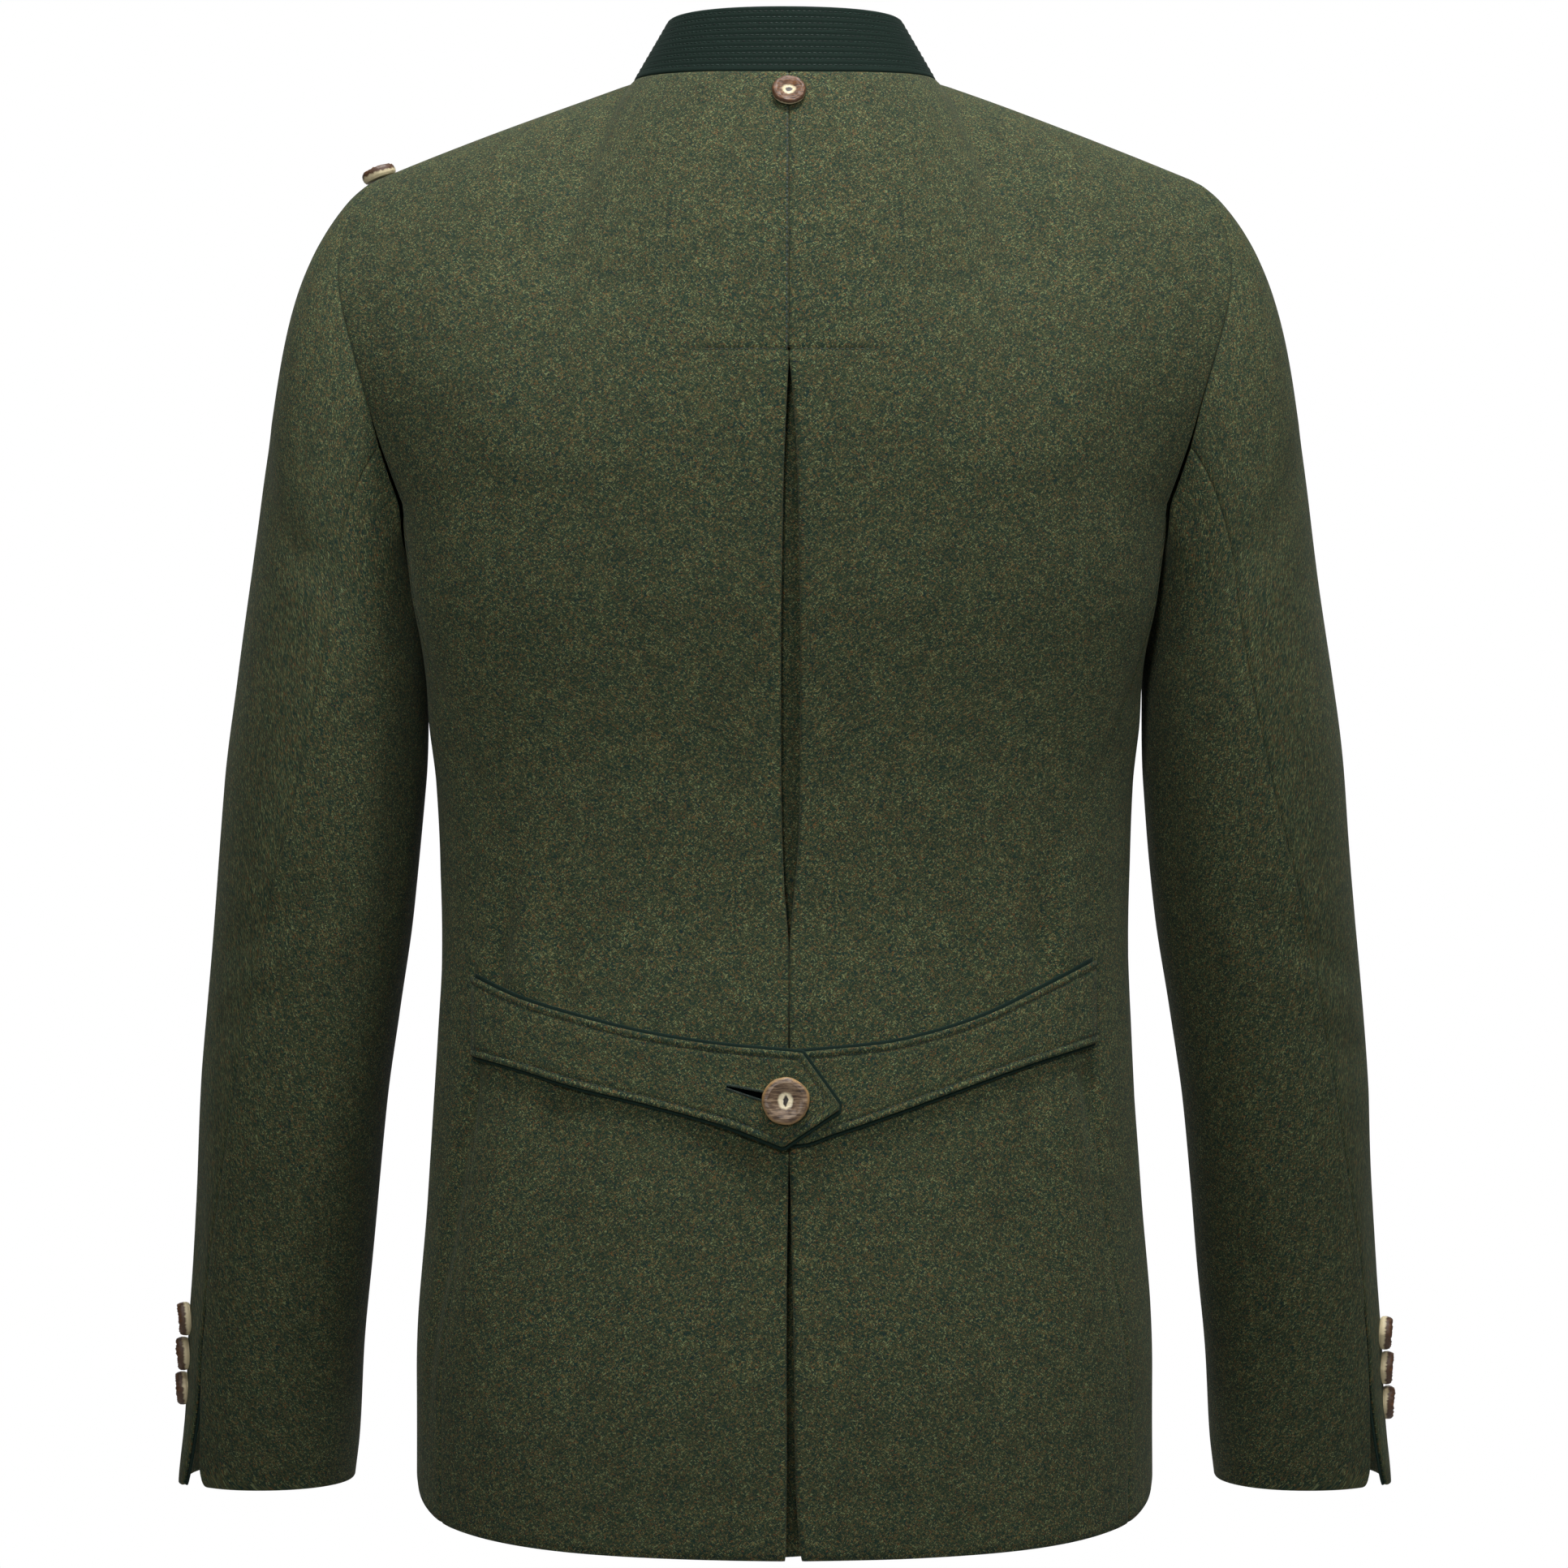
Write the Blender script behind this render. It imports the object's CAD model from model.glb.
# %% [markdown]
# # A Tyrolean loden jacket
#
# This lesson dresses a finished CAD model of a jacket: the panels, the collar, the back belt and the horn
# buttons are already measured and packed, and here each one gets the cloth, the stitching and the horn
# that it is made of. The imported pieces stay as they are. Each visible piece is drawn again, much finer,
# and then stands for its plain node. Most keep their node's sizes. A few differ by some millimetres: the
# pleat opens a little wider, its strip ends a little lower, the cuff slits' corners are rounder, the rows
# beside the bar run level, and the neck, shoulder and cuff buttons are thicker. Sizes are in millimetres,
# and MM turns them into Blender's metres. The wearer looks along -Y, so the back faces +Y, and the
# wearer's left is +X.

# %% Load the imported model
import math
from collections import namedtuple

import bpy
import numpy as np
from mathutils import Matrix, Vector, kdtree, noise
from mathutils.bvhtree import BVHTree


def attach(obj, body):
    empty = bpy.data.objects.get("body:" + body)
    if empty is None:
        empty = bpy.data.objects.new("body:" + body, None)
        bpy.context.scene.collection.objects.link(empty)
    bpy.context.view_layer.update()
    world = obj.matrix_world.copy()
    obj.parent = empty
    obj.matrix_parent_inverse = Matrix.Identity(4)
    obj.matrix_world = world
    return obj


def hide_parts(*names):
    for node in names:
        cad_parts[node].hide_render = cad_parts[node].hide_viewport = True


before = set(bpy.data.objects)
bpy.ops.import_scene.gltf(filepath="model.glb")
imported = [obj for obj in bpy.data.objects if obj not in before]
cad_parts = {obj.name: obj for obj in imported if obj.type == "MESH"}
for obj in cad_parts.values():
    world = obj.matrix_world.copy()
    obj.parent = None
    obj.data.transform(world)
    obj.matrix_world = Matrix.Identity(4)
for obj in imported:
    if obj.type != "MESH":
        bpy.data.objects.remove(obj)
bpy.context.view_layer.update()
MM = 0.001

# %% [markdown]
# ## Curves from short tables
#
# A tailor drafts from a few measures: the chest, the waist, the hem, and the curve that joins them. Each
# table below holds such measures, with its heights or angles in the first column, and `through` draws a
# smooth curve that passes through every one and never swings past them. It is a little more work than
# straight lines between the rows, but cloth shows every corner in its shading.

# %% Smooth curves


def through(rows, column):
    """A smooth function of the rows' first column that passes through them and never overshoots."""
    ordered = sorted(rows, key=lambda row: row[0])
    xs = [row[0] for row in ordered]
    ys = [getattr(row, column) for row in ordered]
    steps = [(ys[i + 1] - ys[i]) / (xs[i + 1] - xs[i]) for i in range(len(xs) - 1)]
    slopes = [steps[0]]
    for before, after in zip(steps, steps[1:]):
        slopes.append(0 if before * after <= 0 else 2 * before * after / (before + after))
    slopes.append(steps[-1])

    def value(x):
        x = min(max(x, xs[0]), xs[-1])
        i = next((k for k in range(len(xs) - 2) if x < xs[k + 1]), len(xs) - 2)
        width = xs[i + 1] - xs[i]
        t = (x - xs[i]) / width
        return hermite(ys[i], slopes[i] * width, ys[i + 1], slopes[i + 1] * width, t)

    return value


def hermite(start, leave, end, arrive, t):
    return (
        start * (2 * t**3 - 3 * t**2 + 1)
        + leave * (t**3 - 2 * t**2 + t)
        + end * (3 * t**2 - 2 * t**3)
        + arrive * (t**3 - t**2)
    )


def mix(a, b, share):
    return a + (b - a) * share


def ease(t):
    t = min(max(t, 0), 1)
    return t * t * (3 - 2 * t)


def power(value, exponent):
    return math.copysign(abs(value) ** exponent, value)


def along(points, share):
    """The point at a share of the length of a smooth curve through the points."""
    lengths = [0]
    for a, b in zip(points, points[1:]):
        lengths.append(lengths[-1] + (b - a).length)
    target = share * lengths[-1]
    i = next((k for k in range(len(points) - 2) if target < lengths[k + 1]), len(points) - 2)
    span = lengths[i + 1] - lengths[i]
    before = points[max(i - 1, 0)]
    after = points[min(i + 2, len(points) - 1)]
    leave = (points[i + 1] - before) * span / (lengths[i + 1] - lengths[max(i - 1, 0)])
    arrive = (after - points[i]) * span / (lengths[min(i + 2, len(points) - 1)] - lengths[i])
    return hermite(points[i], leave, points[i + 1], arrive, (target - lengths[i]) / span)


# %% [markdown]
# ## The body's form
#
# Level sections of the jacket, one row each, from the hem to the armhole. Each is a softened ellipse that
# may be deeper in front than behind, and under the arm it is hollowed where the sleeve lies. A fitted
# form like this could also be sculpted, but a table keeps its sizes readable and exact.

# %% Level sections of the body
# Body: level sections of the middle surface, from hem to armhole
Section = namedtuple("Section", "height half_width back front hollow")
BODY = [
    Section(-726, 184.0, 125, 140, 0),
    Section(-650, 184.3, 122, 142, 0),
    Section(-560, 179.5, 113, 147, 0),
    Section(-480, 175.3, 105, 150, 0),
    Section(-415, 172.4, 99, 151, 0),
    Section(-354, 174.7, 102, 151, 0),
    Section(-326, 180.5, 106, 151, 3.5),
    Section(-300, 187.0, 111, 150, 12),
    Section(-261, 196.5, 118, 148, 21.5),
    Section(-215, 200.0, 122, 145, 14),
]
SQUARENESS = 2.4  # 2 would be an ellipse
HOLLOW_AT_Y = -10  # the hollow under the arm, where the sleeve lies against the side
HOLLOW_REACH = 45
CHEST_LEVEL = -215
# Hem height by turn: 0 is the side, 90 the centre back, -90 the centre front
HemPoint = namedtuple("HemPoint", "turn height")
HEM = [
    HemPoint(-95, -712),
    HemPoint(-60, -708),
    HemPoint(-25, -699),
    HemPoint(0, -698),
    HemPoint(6, -704),
    HemPoint(14, -710),
    HemPoint(30, -717.5),
    HemPoint(60, -722.5),
    HemPoint(95, -724.5),
]
# Side-back seam: its turn round the body at each height
SeamPoint = namedtuple("SeamPoint", "height turn")
SIDE_BACK_SEAM = [
    SeamPoint(-726, 25.8),
    SeamPoint(-648, 26.5),
    SeamPoint(-560, 32.5),
    SeamPoint(-500, 33.5),
    SeamPoint(-440, 31.0),
    SeamPoint(-361, 30.3),
    SeamPoint(-330, 27.5),
    SeamPoint(-295, 21.0),
    SeamPoint(-215, 18.0),
]
# Centre back: the x of each back's edge. They part below the bar (pleat) and below the belt (vent)
EdgePoint = namedtuple("EdgePoint", "height left right")
CENTRE_BACK = [
    EdgePoint(-726, -0.6, -7.7),
    EdgePoint(-690, -0.6, -5.4),
    EdgePoint(-640, -0.7, -4.6),
    EdgePoint(-580, -0.9, -3.5),
    EdgePoint(-545, -1.3, -2.9),
    EdgePoint(-525, -1.85, -2.15),
    EdgePoint(-442, -1.85, -2.15),
    EdgePoint(-426, -1.2, -3.0),
    EdgePoint(-404, 0.3, -4.8),
    EdgePoint(-376, 1.2, -6.7),
    EdgePoint(-348, 1.6, -7.2),
    EdgePoint(-251, 1.6, -7.1),
    EdgePoint(-220, 1.2, -6.7),
    EdgePoint(-196, 0.5, -6.0),
    EdgePoint(-166, -0.8, -4.0),
    EdgePoint(-146, -1.85, -2.15),
    EdgePoint(0, -1.85, -2.15),
]

body_half_width = through(BODY, "half_width")
body_back = through(BODY, "back")
body_front = through(BODY, "front")
body_hollow = through(BODY, "hollow")
hem_height = through(HEM, "height")
seam_turn = through(SIDE_BACK_SEAM, "turn")
edge_left = through(CENTRE_BACK, "left")
edge_right = through(CENTRE_BACK, "right")


def ring(turn, height):
    """A point of the body's middle surface on the wearer's left; the right side mirrors it."""
    cosine = math.cos(math.radians(turn))
    sine = math.sin(math.radians(turn))
    depth = body_back(height) if turn > 0 else body_front(height)
    y = depth * power(sine, 2 / SQUARENESS)
    x = body_half_width(height) * power(cosine, 2 / SQUARENESS)
    if cosine > 0:
        x -= body_hollow(height) * math.exp(-(((y - HOLLOW_AT_Y) / HOLLOW_REACH) ** 2))
    return Vector((x, y, height))


def turn_at_x(x, height, side_of_body=1):
    """The turn at which the section has this x, on its back (1) or its front (-1)."""
    cosine = power(x / body_half_width(height), SQUARENESS / 2)
    return side_of_body * math.degrees(math.acos(cosine))


def ring_normal(turn, height):
    step = 0.5
    across = ring(turn + step, height) - ring(turn - step, height)
    up = ring(turn, height + step) - ring(turn, height - step)
    return across.cross(up).normalized()


WAIST_LEVEL = -415
waist_depth = body_back(WAIST_LEVEL) + body_front(WAIST_LEVEL)
print("waist in mm:", round(2 * body_half_width(WAIST_LEVEL)), "wide,", round(waist_depth), "deep")

# %% [markdown]
# ## Seams, neck and armholes
#
# A jacket back is cut in two halves that meet at the centre, and its side seams run well round to the
# back, as on the real one. Above the chest the panels leave the level sections and bend over the shoulder,
# so they are drawn as curves between the shoulder or neck line and the chest, each with a direction in
# which it leaves the top. That direction is what makes a shoulder blade or a chest look filled.

# %% Seam lines, neck and armholes
# Fronts
LAP = 18  # each front runs this far past the centre
# Neck and shoulders
NECK_HALF_WIDTH = 76
NECK_BACK = 68
NECK_FRONT = 80
NECK_BACK_DROP = 5
NECK_FRONT_DROP = 62
NECK_DROP_POWER = 1.7  # how late the front of the neck drops
SHOULDER_TIP = Vector((205, -12, -48))
SHOULDER_BOW = 1.2
# How each upper panel leaves the neck or shoulder: share 0 is the armhole, 1 the centre
Leave = namedtuple("Leave", "share x y z")
NECK_SHARE = 0.56  # the share at which the side neck point lies
BACK_LEAVES = [
    Leave(0.0, 45, 130, -25),
    Leave(0.28, 15, 195, -35),
    Leave(0.56, 40, 175, -75),
    Leave(0.78, 45, 130, -150),
    Leave(1.0, 0, 134, -195),
]
FRONT_LEAVES = [
    Leave(0.0, 15, -115, -25),
    Leave(0.28, -5, -190, -42),
    Leave(0.56, 0, -172, -62),
    Leave(0.78, 8, -125, -88),
    Leave(0.942, 0, -85, -104),
]
# Armhole, from the shoulder tip down its back and its front edge to the chest level
ArmholePoint = namedtuple("ArmholePoint", "x y z")
ARMHOLE_BACK = [
    ArmholePoint(209, 4, -52.5),
    ArmholePoint(217, 18, -68),
    ArmholePoint(222, 30, -90),
    ArmholePoint(220.5, 41, -112),
    ArmholePoint(214, 49.5, -137),
    ArmholePoint(207, 54, -160),
    ArmholePoint(200, 53, -184),
]
ARMHOLE_FRONT = [
    ArmholePoint(206, -26, -52),
    ArmholePoint(208, -38, -66),
    ArmholePoint(206.5, -50, -88),
    ArmholePoint(200, -62, -115),
    ArmholePoint(190, -74, -145),
    ArmholePoint(179, -82, -180),
]
ARMHOLE_FADE = 3  # the power by which an armhole's shape fades towards the centre
CENTRE_FADE = 6  # and the power by which the centre edge's shape fades towards the armhole
SIDE_ROUNDING = 120  # how far back or forward the side of the body faces half outwards
ARMHOLE_DROP = 31  # from the chest level to its lowest point
FRONT_PITCH = -31  # the turn at which the front edge reaches the chest level
ARMHOLE_BACK_ANGLE = 126  # its back edge takes the sleeve's angles 0 to this
ARMHOLE_FRONT_ANGLE = 230.4  # its front edge takes this to 360
PAST_CENTRE = math.degrees(math.asin(LAP / NECK_HALF_WIDTH))
FRONT_CENTRE = mix(NECK_SHARE, 1, 90 / (90 + PAST_CENTRE))  # the share of the centre front
HALVINGS = 40  # of the span in which a height is looked for


def centre_edge(side, height):
    """The x of a back's edge at the centre, in the frame of the wearer's left."""
    return edge_left(height) if side > 0 else -edge_right(height)


def neck(turn):
    """The neck seam: 90 is the centre back, 0 the side neck point, -90 the centre front."""
    cosine = math.cos(math.radians(turn))
    sine = math.sin(math.radians(turn))
    if turn > 0:
        return Vector((NECK_HALF_WIDTH * cosine, NECK_BACK * sine, -NECK_BACK_DROP * sine**2))
    drop = NECK_FRONT_DROP * abs(sine) ** NECK_DROP_POWER
    return Vector((NECK_HALF_WIDTH * cosine, NECK_FRONT * sine, -drop))


def top_line(share, back):
    """Along the shoulder seam from the armhole (0) to the neck, then round the neck to the centre (1)."""
    if share < NECK_SHARE:
        point = SHOULDER_TIP.lerp(neck(0), share / NECK_SHARE)
        point.z += SHOULDER_BOW * math.sin(math.pi * share / NECK_SHARE)
        return point
    round_neck = (share - NECK_SHARE) / (1 - NECK_SHARE)
    if back:
        return neck(round_neck * 90)
    return neck(-round_neck * (90 + PAST_CENTRE))


def armhole_edge(drop, back):
    """The armhole's back or front edge, from the shoulder tip (0) to the chest level (1)."""
    middle = ARMHOLE_BACK if back else ARMHOLE_FRONT
    turn = seam_turn(CHEST_LEVEL) if back else FRONT_PITCH
    points = [SHOULDER_TIP] + [Vector(p) for p in middle] + [ring(turn, CHEST_LEVEL)]
    return along(points, drop)


def armhole_under(share):
    """The armhole's lowest part, from the side-back seam (0) to the front pitch (1)."""
    swing = math.pi * share
    start = seam_turn(CHEST_LEVEL)
    turn = mix(start, FRONT_PITCH, (1 - math.cos(swing)) / 2)
    return ring(turn, CHEST_LEVEL - ARMHOLE_DROP * math.sin(swing))


def armhole(angle):
    """A point of the armhole by the sleeve's angle: 0 at the shoulder tip, growing down the back."""
    angle %= 360
    if angle <= ARMHOLE_BACK_ANGLE:
        return armhole_edge(angle / ARMHOLE_BACK_ANGLE, back=True)
    if angle <= ARMHOLE_FRONT_ANGLE:
        span = ARMHOLE_FRONT_ANGLE - ARMHOLE_BACK_ANGLE
        return armhole_under((angle - ARMHOLE_BACK_ANGLE) / span)
    return armhole_edge((360 - angle) / (360 - ARMHOLE_FRONT_ANGLE), back=False)


def leaves(rows):
    x = through(rows, "x")
    y = through(rows, "y")
    z = through(rows, "z")
    return lambda at: Vector((x(at), y(at), z(at)))


back_leave = leaves(BACK_LEAVES)
front_leave = leaves(FRONT_LEAVES)


def upper(share, drop, centre_turn, back):
    """A point above the chest level: share 0 is the armhole, 1 the centre; drop 0 is the top line."""

    def column(at, down):
        turn = mix(seam_turn(CHEST_LEVEL) if back else FRONT_PITCH, centre_turn, at)
        top = top_line(at, back)
        bottom = ring(turn, CHEST_LEVEL)
        downward = (ring(turn, CHEST_LEVEL - 10) - bottom).normalized()
        leave = back_leave(at) if back else front_leave(min(at, 2 * FRONT_CENTRE - at))
        return hermite(top, leave, bottom, downward * (bottom - top).length, down)

    point = column(share, drop)
    at_armhole = armhole_edge(drop, back) - column(0, drop)
    return point + at_armhole * (1 - share) ** ARMHOLE_FADE


def drop_at(height, line):
    """The drop at which a line of points that runs down from the top line has this height."""
    low, high = 0.0, 1.0
    for _ in range(HALVINGS):
        middle = (low + high) / 2
        if line(middle).z > height:
            low = middle
        else:
            high = middle
    return low


def centre_back(drop):
    return upper(1, drop, 90, back=True)


# %% [markdown]
# ## Drawing cloth as a shell
#
# Cloth is thin but never flat: this loden is nearly two millimetres thick, its cut edges are rounded, and
# at every seam it rolls inwards, so that two panels meet in a small valley. A Solidify modifier would give
# every edge square corners. So each panel is drawn as an outer and an inner surface, made from one grid of
# points: the grid is pushed in along its seams, and the two surfaces close up towards each rim.

# %% Grids, normals and distances
EDGE_STEPS = (0, 0.35, 0.9, 1.7, 3.0)  # columns this near an edge, where the cloth turns over
STEP = 3.3  # between the others


def spaced(length, low=None, high=None):
    """Shares along a length: evenly spaced, and closer together beside an edge, from its inset on."""
    first = [(low + mm) / length for mm in EDGE_STEPS] if low is not None else [0]
    last = [1 - (high + mm) / length for mm in reversed(EDGE_STEPS)] if high is not None else [1]
    count = max(1, round((last[0] - first[-1]) * length / STEP))
    middle = [mix(first[-1], last[0], i / count) for i in range(1, count)]
    return first + middle + last


def at_length(row, run):
    """The point a run along a row of points."""
    for before, after in zip(row, row[1:]):
        length = (after - before).length
        if run <= length:
            return before.lerp(after, run / length)
        run -= length
    return row[-1]


def gather(rows, side, flip):
    """A grid's points and faces. A row may start in a later column, as (start, points)."""
    index = {}
    points = []
    for r, (start, row) in enumerate(rows):
        for c, point in enumerate(row):
            index[r, start + c] = len(points)
            points.append((point.x * side, point.y, point.z))
    faces = []
    for r, c in index:
        corners = ((r, c), (r, c + 1), (r + 1, c + 1), (r + 1, c))
        if all(corner in index for corner in corners):
            face = [index[corner] for corner in corners]
            faces.append(face if (side > 0) != flip else face[::-1])
    return np.array(points), np.array(faces), index


def outward_of(points, faces):
    """Each point's direction out of the cloth, the mean of its faces'."""
    corner = [points[faces[:, i]] for i in range(4)]
    across = np.cross(corner[2] - corner[0], corner[3] - corner[1])
    total = np.zeros_like(points)
    for i in range(4):
        np.add.at(total, faces[:, i], across)
    return total / np.maximum(np.linalg.norm(total, axis=1, keepdims=True), 1e-9)


def pressed(points, line, depths, width):
    """How far a seam or a fold moves each point: its depth at the nearest part of its line, fading
    over its width. Below zero it is a valley."""
    lift = np.zeros(len(points))
    for a, b, first, last in zip(line, line[1:], depths, depths[1:]):
        step = b - a
        share = np.clip((points - a) @ step / max(step @ step, 1e-9), 0, 1)
        distance = np.linalg.norm(points - a - share[:, None] * step, axis=1)
        value = mix(first, last, share) * np.exp(-((distance / width) ** 2))
        lift = np.where(np.abs(value) > np.abs(lift), value, lift)
    return lift


def rim_of(faces):
    """The directed edges that only one face has."""
    edges = np.concatenate([faces[:, [i, (i + 1) % 4]] for i in range(4)])
    known = {tuple(edge) for edge in edges.tolist()}
    return [edge for edge in edges.tolist() if (edge[1], edge[0]) not in known]


def cloth_uv(points, index, anchor):
    """Each point's place on the cloth in millimetres: across from the anchor column, and up."""
    across = np.zeros(len(points))
    up = np.zeros(len(points))
    for (r, c), here in sorted(index.items()):
        if c > anchor and (r, c - 1) in index:
            before = index[r, c - 1]
            across[here] = across[before] + np.linalg.norm(points[here] - points[before])
        if (r - 1, c) in index:
            below = index[r - 1, c]
            up[here] = up[below] + np.linalg.norm(points[here] - points[below])
    for (r, c), here in sorted(index.items(), reverse=True):
        if c < anchor and (r, c + 1) in index:
            after = index[r, c + 1]
            across[here] = across[after] - np.linalg.norm(points[here] - points[after])
    return np.stack([across, up], axis=1)


# %% The shell itself
WAVE_LENGTH = 70  # of the cloth's own slight unevenness
WAVE_HEIGHT = 0.7
THINNEST = 0.55  # of the half thickness, at the very rim
SEAM_DEPTH = 0.55
SEAM_WIDTH = 1.4


def unevenness(points):
    return np.array([WAVE_HEIGHT * noise.noise(Vector(p) / WAVE_LENGTH) for p in points])


Press = namedtuple("Press", "line depths width")  # a seam's valley, or a fold; a depth below 0 goes in


def seam(line, depth=SEAM_DEPTH, width=SEAM_WIDTH, every=3):
    """The valley of a seam along a line of points."""
    thinned = line[:-1:every] + [line[-1]]
    return Press(thinned, [-depth] * len(thinned), width)


def shell(name, rows, side, thickness, finish, anchor=0, flip=False, presses=()):
    """A closed wall of cloth on a grid of points, rolled in at its seams and lifted by its folds."""
    points, faces, index = gather(rows, side, flip)
    outward = outward_of(points, faces)
    lift = unevenness(points)
    for press in presses:
        line = np.array([(p.x * side, p.y, p.z) for p in press.line])
        lift += pressed(points, line, press.depths, press.width)
    uv = cloth_uv(points, index, anchor)
    points = points + outward * lift[:, None]
    outward = outward_of(points, faces)
    rim = rim_of(faces)
    tree = kdtree.KDTree(len(rim))
    for i, (a, _) in enumerate(rim):
        tree.insert(points[a], i)
    tree.balance()
    from_rim = np.array([tree.find(p)[2] for p in points])
    turned = 1 - np.minimum(from_rim / (thickness / 2), 1)
    half = thickness / 2 * np.maximum(np.sqrt(1 - turned**2), THINNEST)
    outer = points + outward * half[:, None]
    inner = points - outward * half[:, None]
    count = len(points)
    quads = faces.tolist() + [[i + count for i in face[::-1]] for face in faces.tolist()]
    quads += [[b, a, a + count, b + count] for a, b in rim]
    mesh = bpy.data.meshes.new(name)
    mesh.from_pydata((np.concatenate([outer, inner]) * MM).tolist(), [], quads)
    mesh.materials.append(finish)
    mesh.shade_smooth()
    layer = mesh.uv_layers.new(name="cloth")
    corners = np.array([loop.vertex_index for loop in mesh.loops])
    layer.data.foreach_set("uv", (np.concatenate([uv, uv])[corners] * MM).ravel())
    obj = bpy.data.objects.new(name, mesh)
    bpy.context.scene.collection.objects.link(obj)
    sides = [outer[faces[:, 2]] - outer[faces[:, 0]], outer[faces[:, 3]] - outer[faces[:, 1]]]
    area = np.linalg.norm(np.cross(*sides), axis=1).sum() / 2
    print(f"{name}: {len(quads) * 2} triangles, {area / 1e6:.3f} square metres")
    return obj


def stands_for(obj, node):
    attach(obj, "root")
    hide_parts(node)
    print(node, "is now", obj.name)


# %% [markdown]
# ## Materials
#
# Loden is wool that was woven, then milled in hot water until the weave closed, brushed, and shorn. The
# eye sees no threads: it sees short fibres of many colours lying over each other, olive from a distance
# but teal, ochre, rust and navy from near by, with a soft light on the nap at the edges. So the colour
# comes from small stretched cells, each of its own colour, in two directions, and the nap from the
# Principled shader's sheen. An image of cloth would be quicker, but would repeat and show its seams.

# %% Colours and nodes


def colour(text):
    """A linear colour from an sRGB hex value."""
    parts = [int(text[i : i + 2], 16) / 255 for i in (1, 3, 5)]
    linear = [p / 12.92 if p <= 0.04045 else ((p + 0.055) / 1.055) ** 2.4 for p in parts]
    return (*linear, 1.0)


def add(tree, kind, inputs=None, stops=None, **settings):
    """Adds a node with its settings. An input is a value, or the socket that it is linked to."""
    node = tree.nodes.new(kind)
    node.location = (180 * (len(tree.nodes) % 12), -260 * (len(tree.nodes) // 12))
    for key, value in settings.items():
        setattr(node, key, value)
    for key, value in (inputs or {}).items():
        if isinstance(value, bpy.types.NodeSocket):
            tree.links.new(value, node.inputs[key])
        else:
            node.inputs[key].default_value = value
    if stops:
        ramp = node.color_ramp
        while len(ramp.elements) < len(stops):
            ramp.elements.new(0.5)
        for element, (place, value) in zip(ramp.elements, stops):
            element.position = place
            element.color = colour(value)
    return node


def new_material(name):
    """A material with its tree, its shader and the cloth's own coordinates in metres."""
    finish = bpy.data.materials.new(name)
    finish.use_nodes = True
    tree = finish.node_tree
    shader = tree.nodes["Principled BSDF"]
    place = add(tree, "ShaderNodeUVMap", uv_map="cloth").outputs["UV"]
    return finish, tree, shader, place


# %% Loden, milled and brushed wool
# Real fibres are 0.02 mm thick, which would vanish, so each fleck stands for a tuft of one colour.
FLECK_WIDTH = 0.33
FLECK_LENGTH = 1.0
FLECK_STOPS = [
    (0.0, "#0b1120"),
    (0.10, "#0b2926"),
    (0.25, "#15281c"),
    (0.45, "#253421"),
    (0.61, "#373f28"),
    (0.75, "#4b4b2b"),
    (0.85, "#60391a"),
    (0.92, "#67734f"),
]


def flecks(tree, place, turn, seed):
    """Stretched cells, each with a random colour of the wool, lying in one direction."""
    sway = add(tree, "ShaderNodeTexNoise", {"Vector": place, "Scale": 1 / (3 * MM), "Detail": 2.0})
    bend = add(
        tree,
        "ShaderNodeVectorMath",
        {0: sway.outputs["Color"], 1: (0.5, 0.5, 0.5)},
        operation="SUBTRACT",
    )
    swayed = add(
        tree,
        "ShaderNodeVectorMath",
        {0: bend.outputs[0], 1: (1.6 * MM,) * 3, 2: place},
        operation="MULTIPLY_ADD",
    )
    laid = add(
        tree,
        "ShaderNodeMapping",
        {
            "Vector": swayed.outputs[0],
            "Rotation": (0, 0, math.radians(turn)),
            "Location": (seed, seed, 0),
            # A texture mapping divides by its scale, so this is the fleck's own size.
            "Scale": (FLECK_LENGTH * MM, FLECK_WIDTH * MM, 1),
        },
        vector_type="TEXTURE",
    )
    cells = add(
        tree,
        "ShaderNodeTexVoronoi",
        {"Vector": laid.outputs[0], "Scale": 1.0, "Randomness": 1.0},
        voronoi_dimensions="2D",
    )
    value = add(tree, "ShaderNodeSeparateColor", {"Color": cells.outputs["Color"]})
    return value.outputs["Red"], cells.outputs["Distance"]


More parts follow.
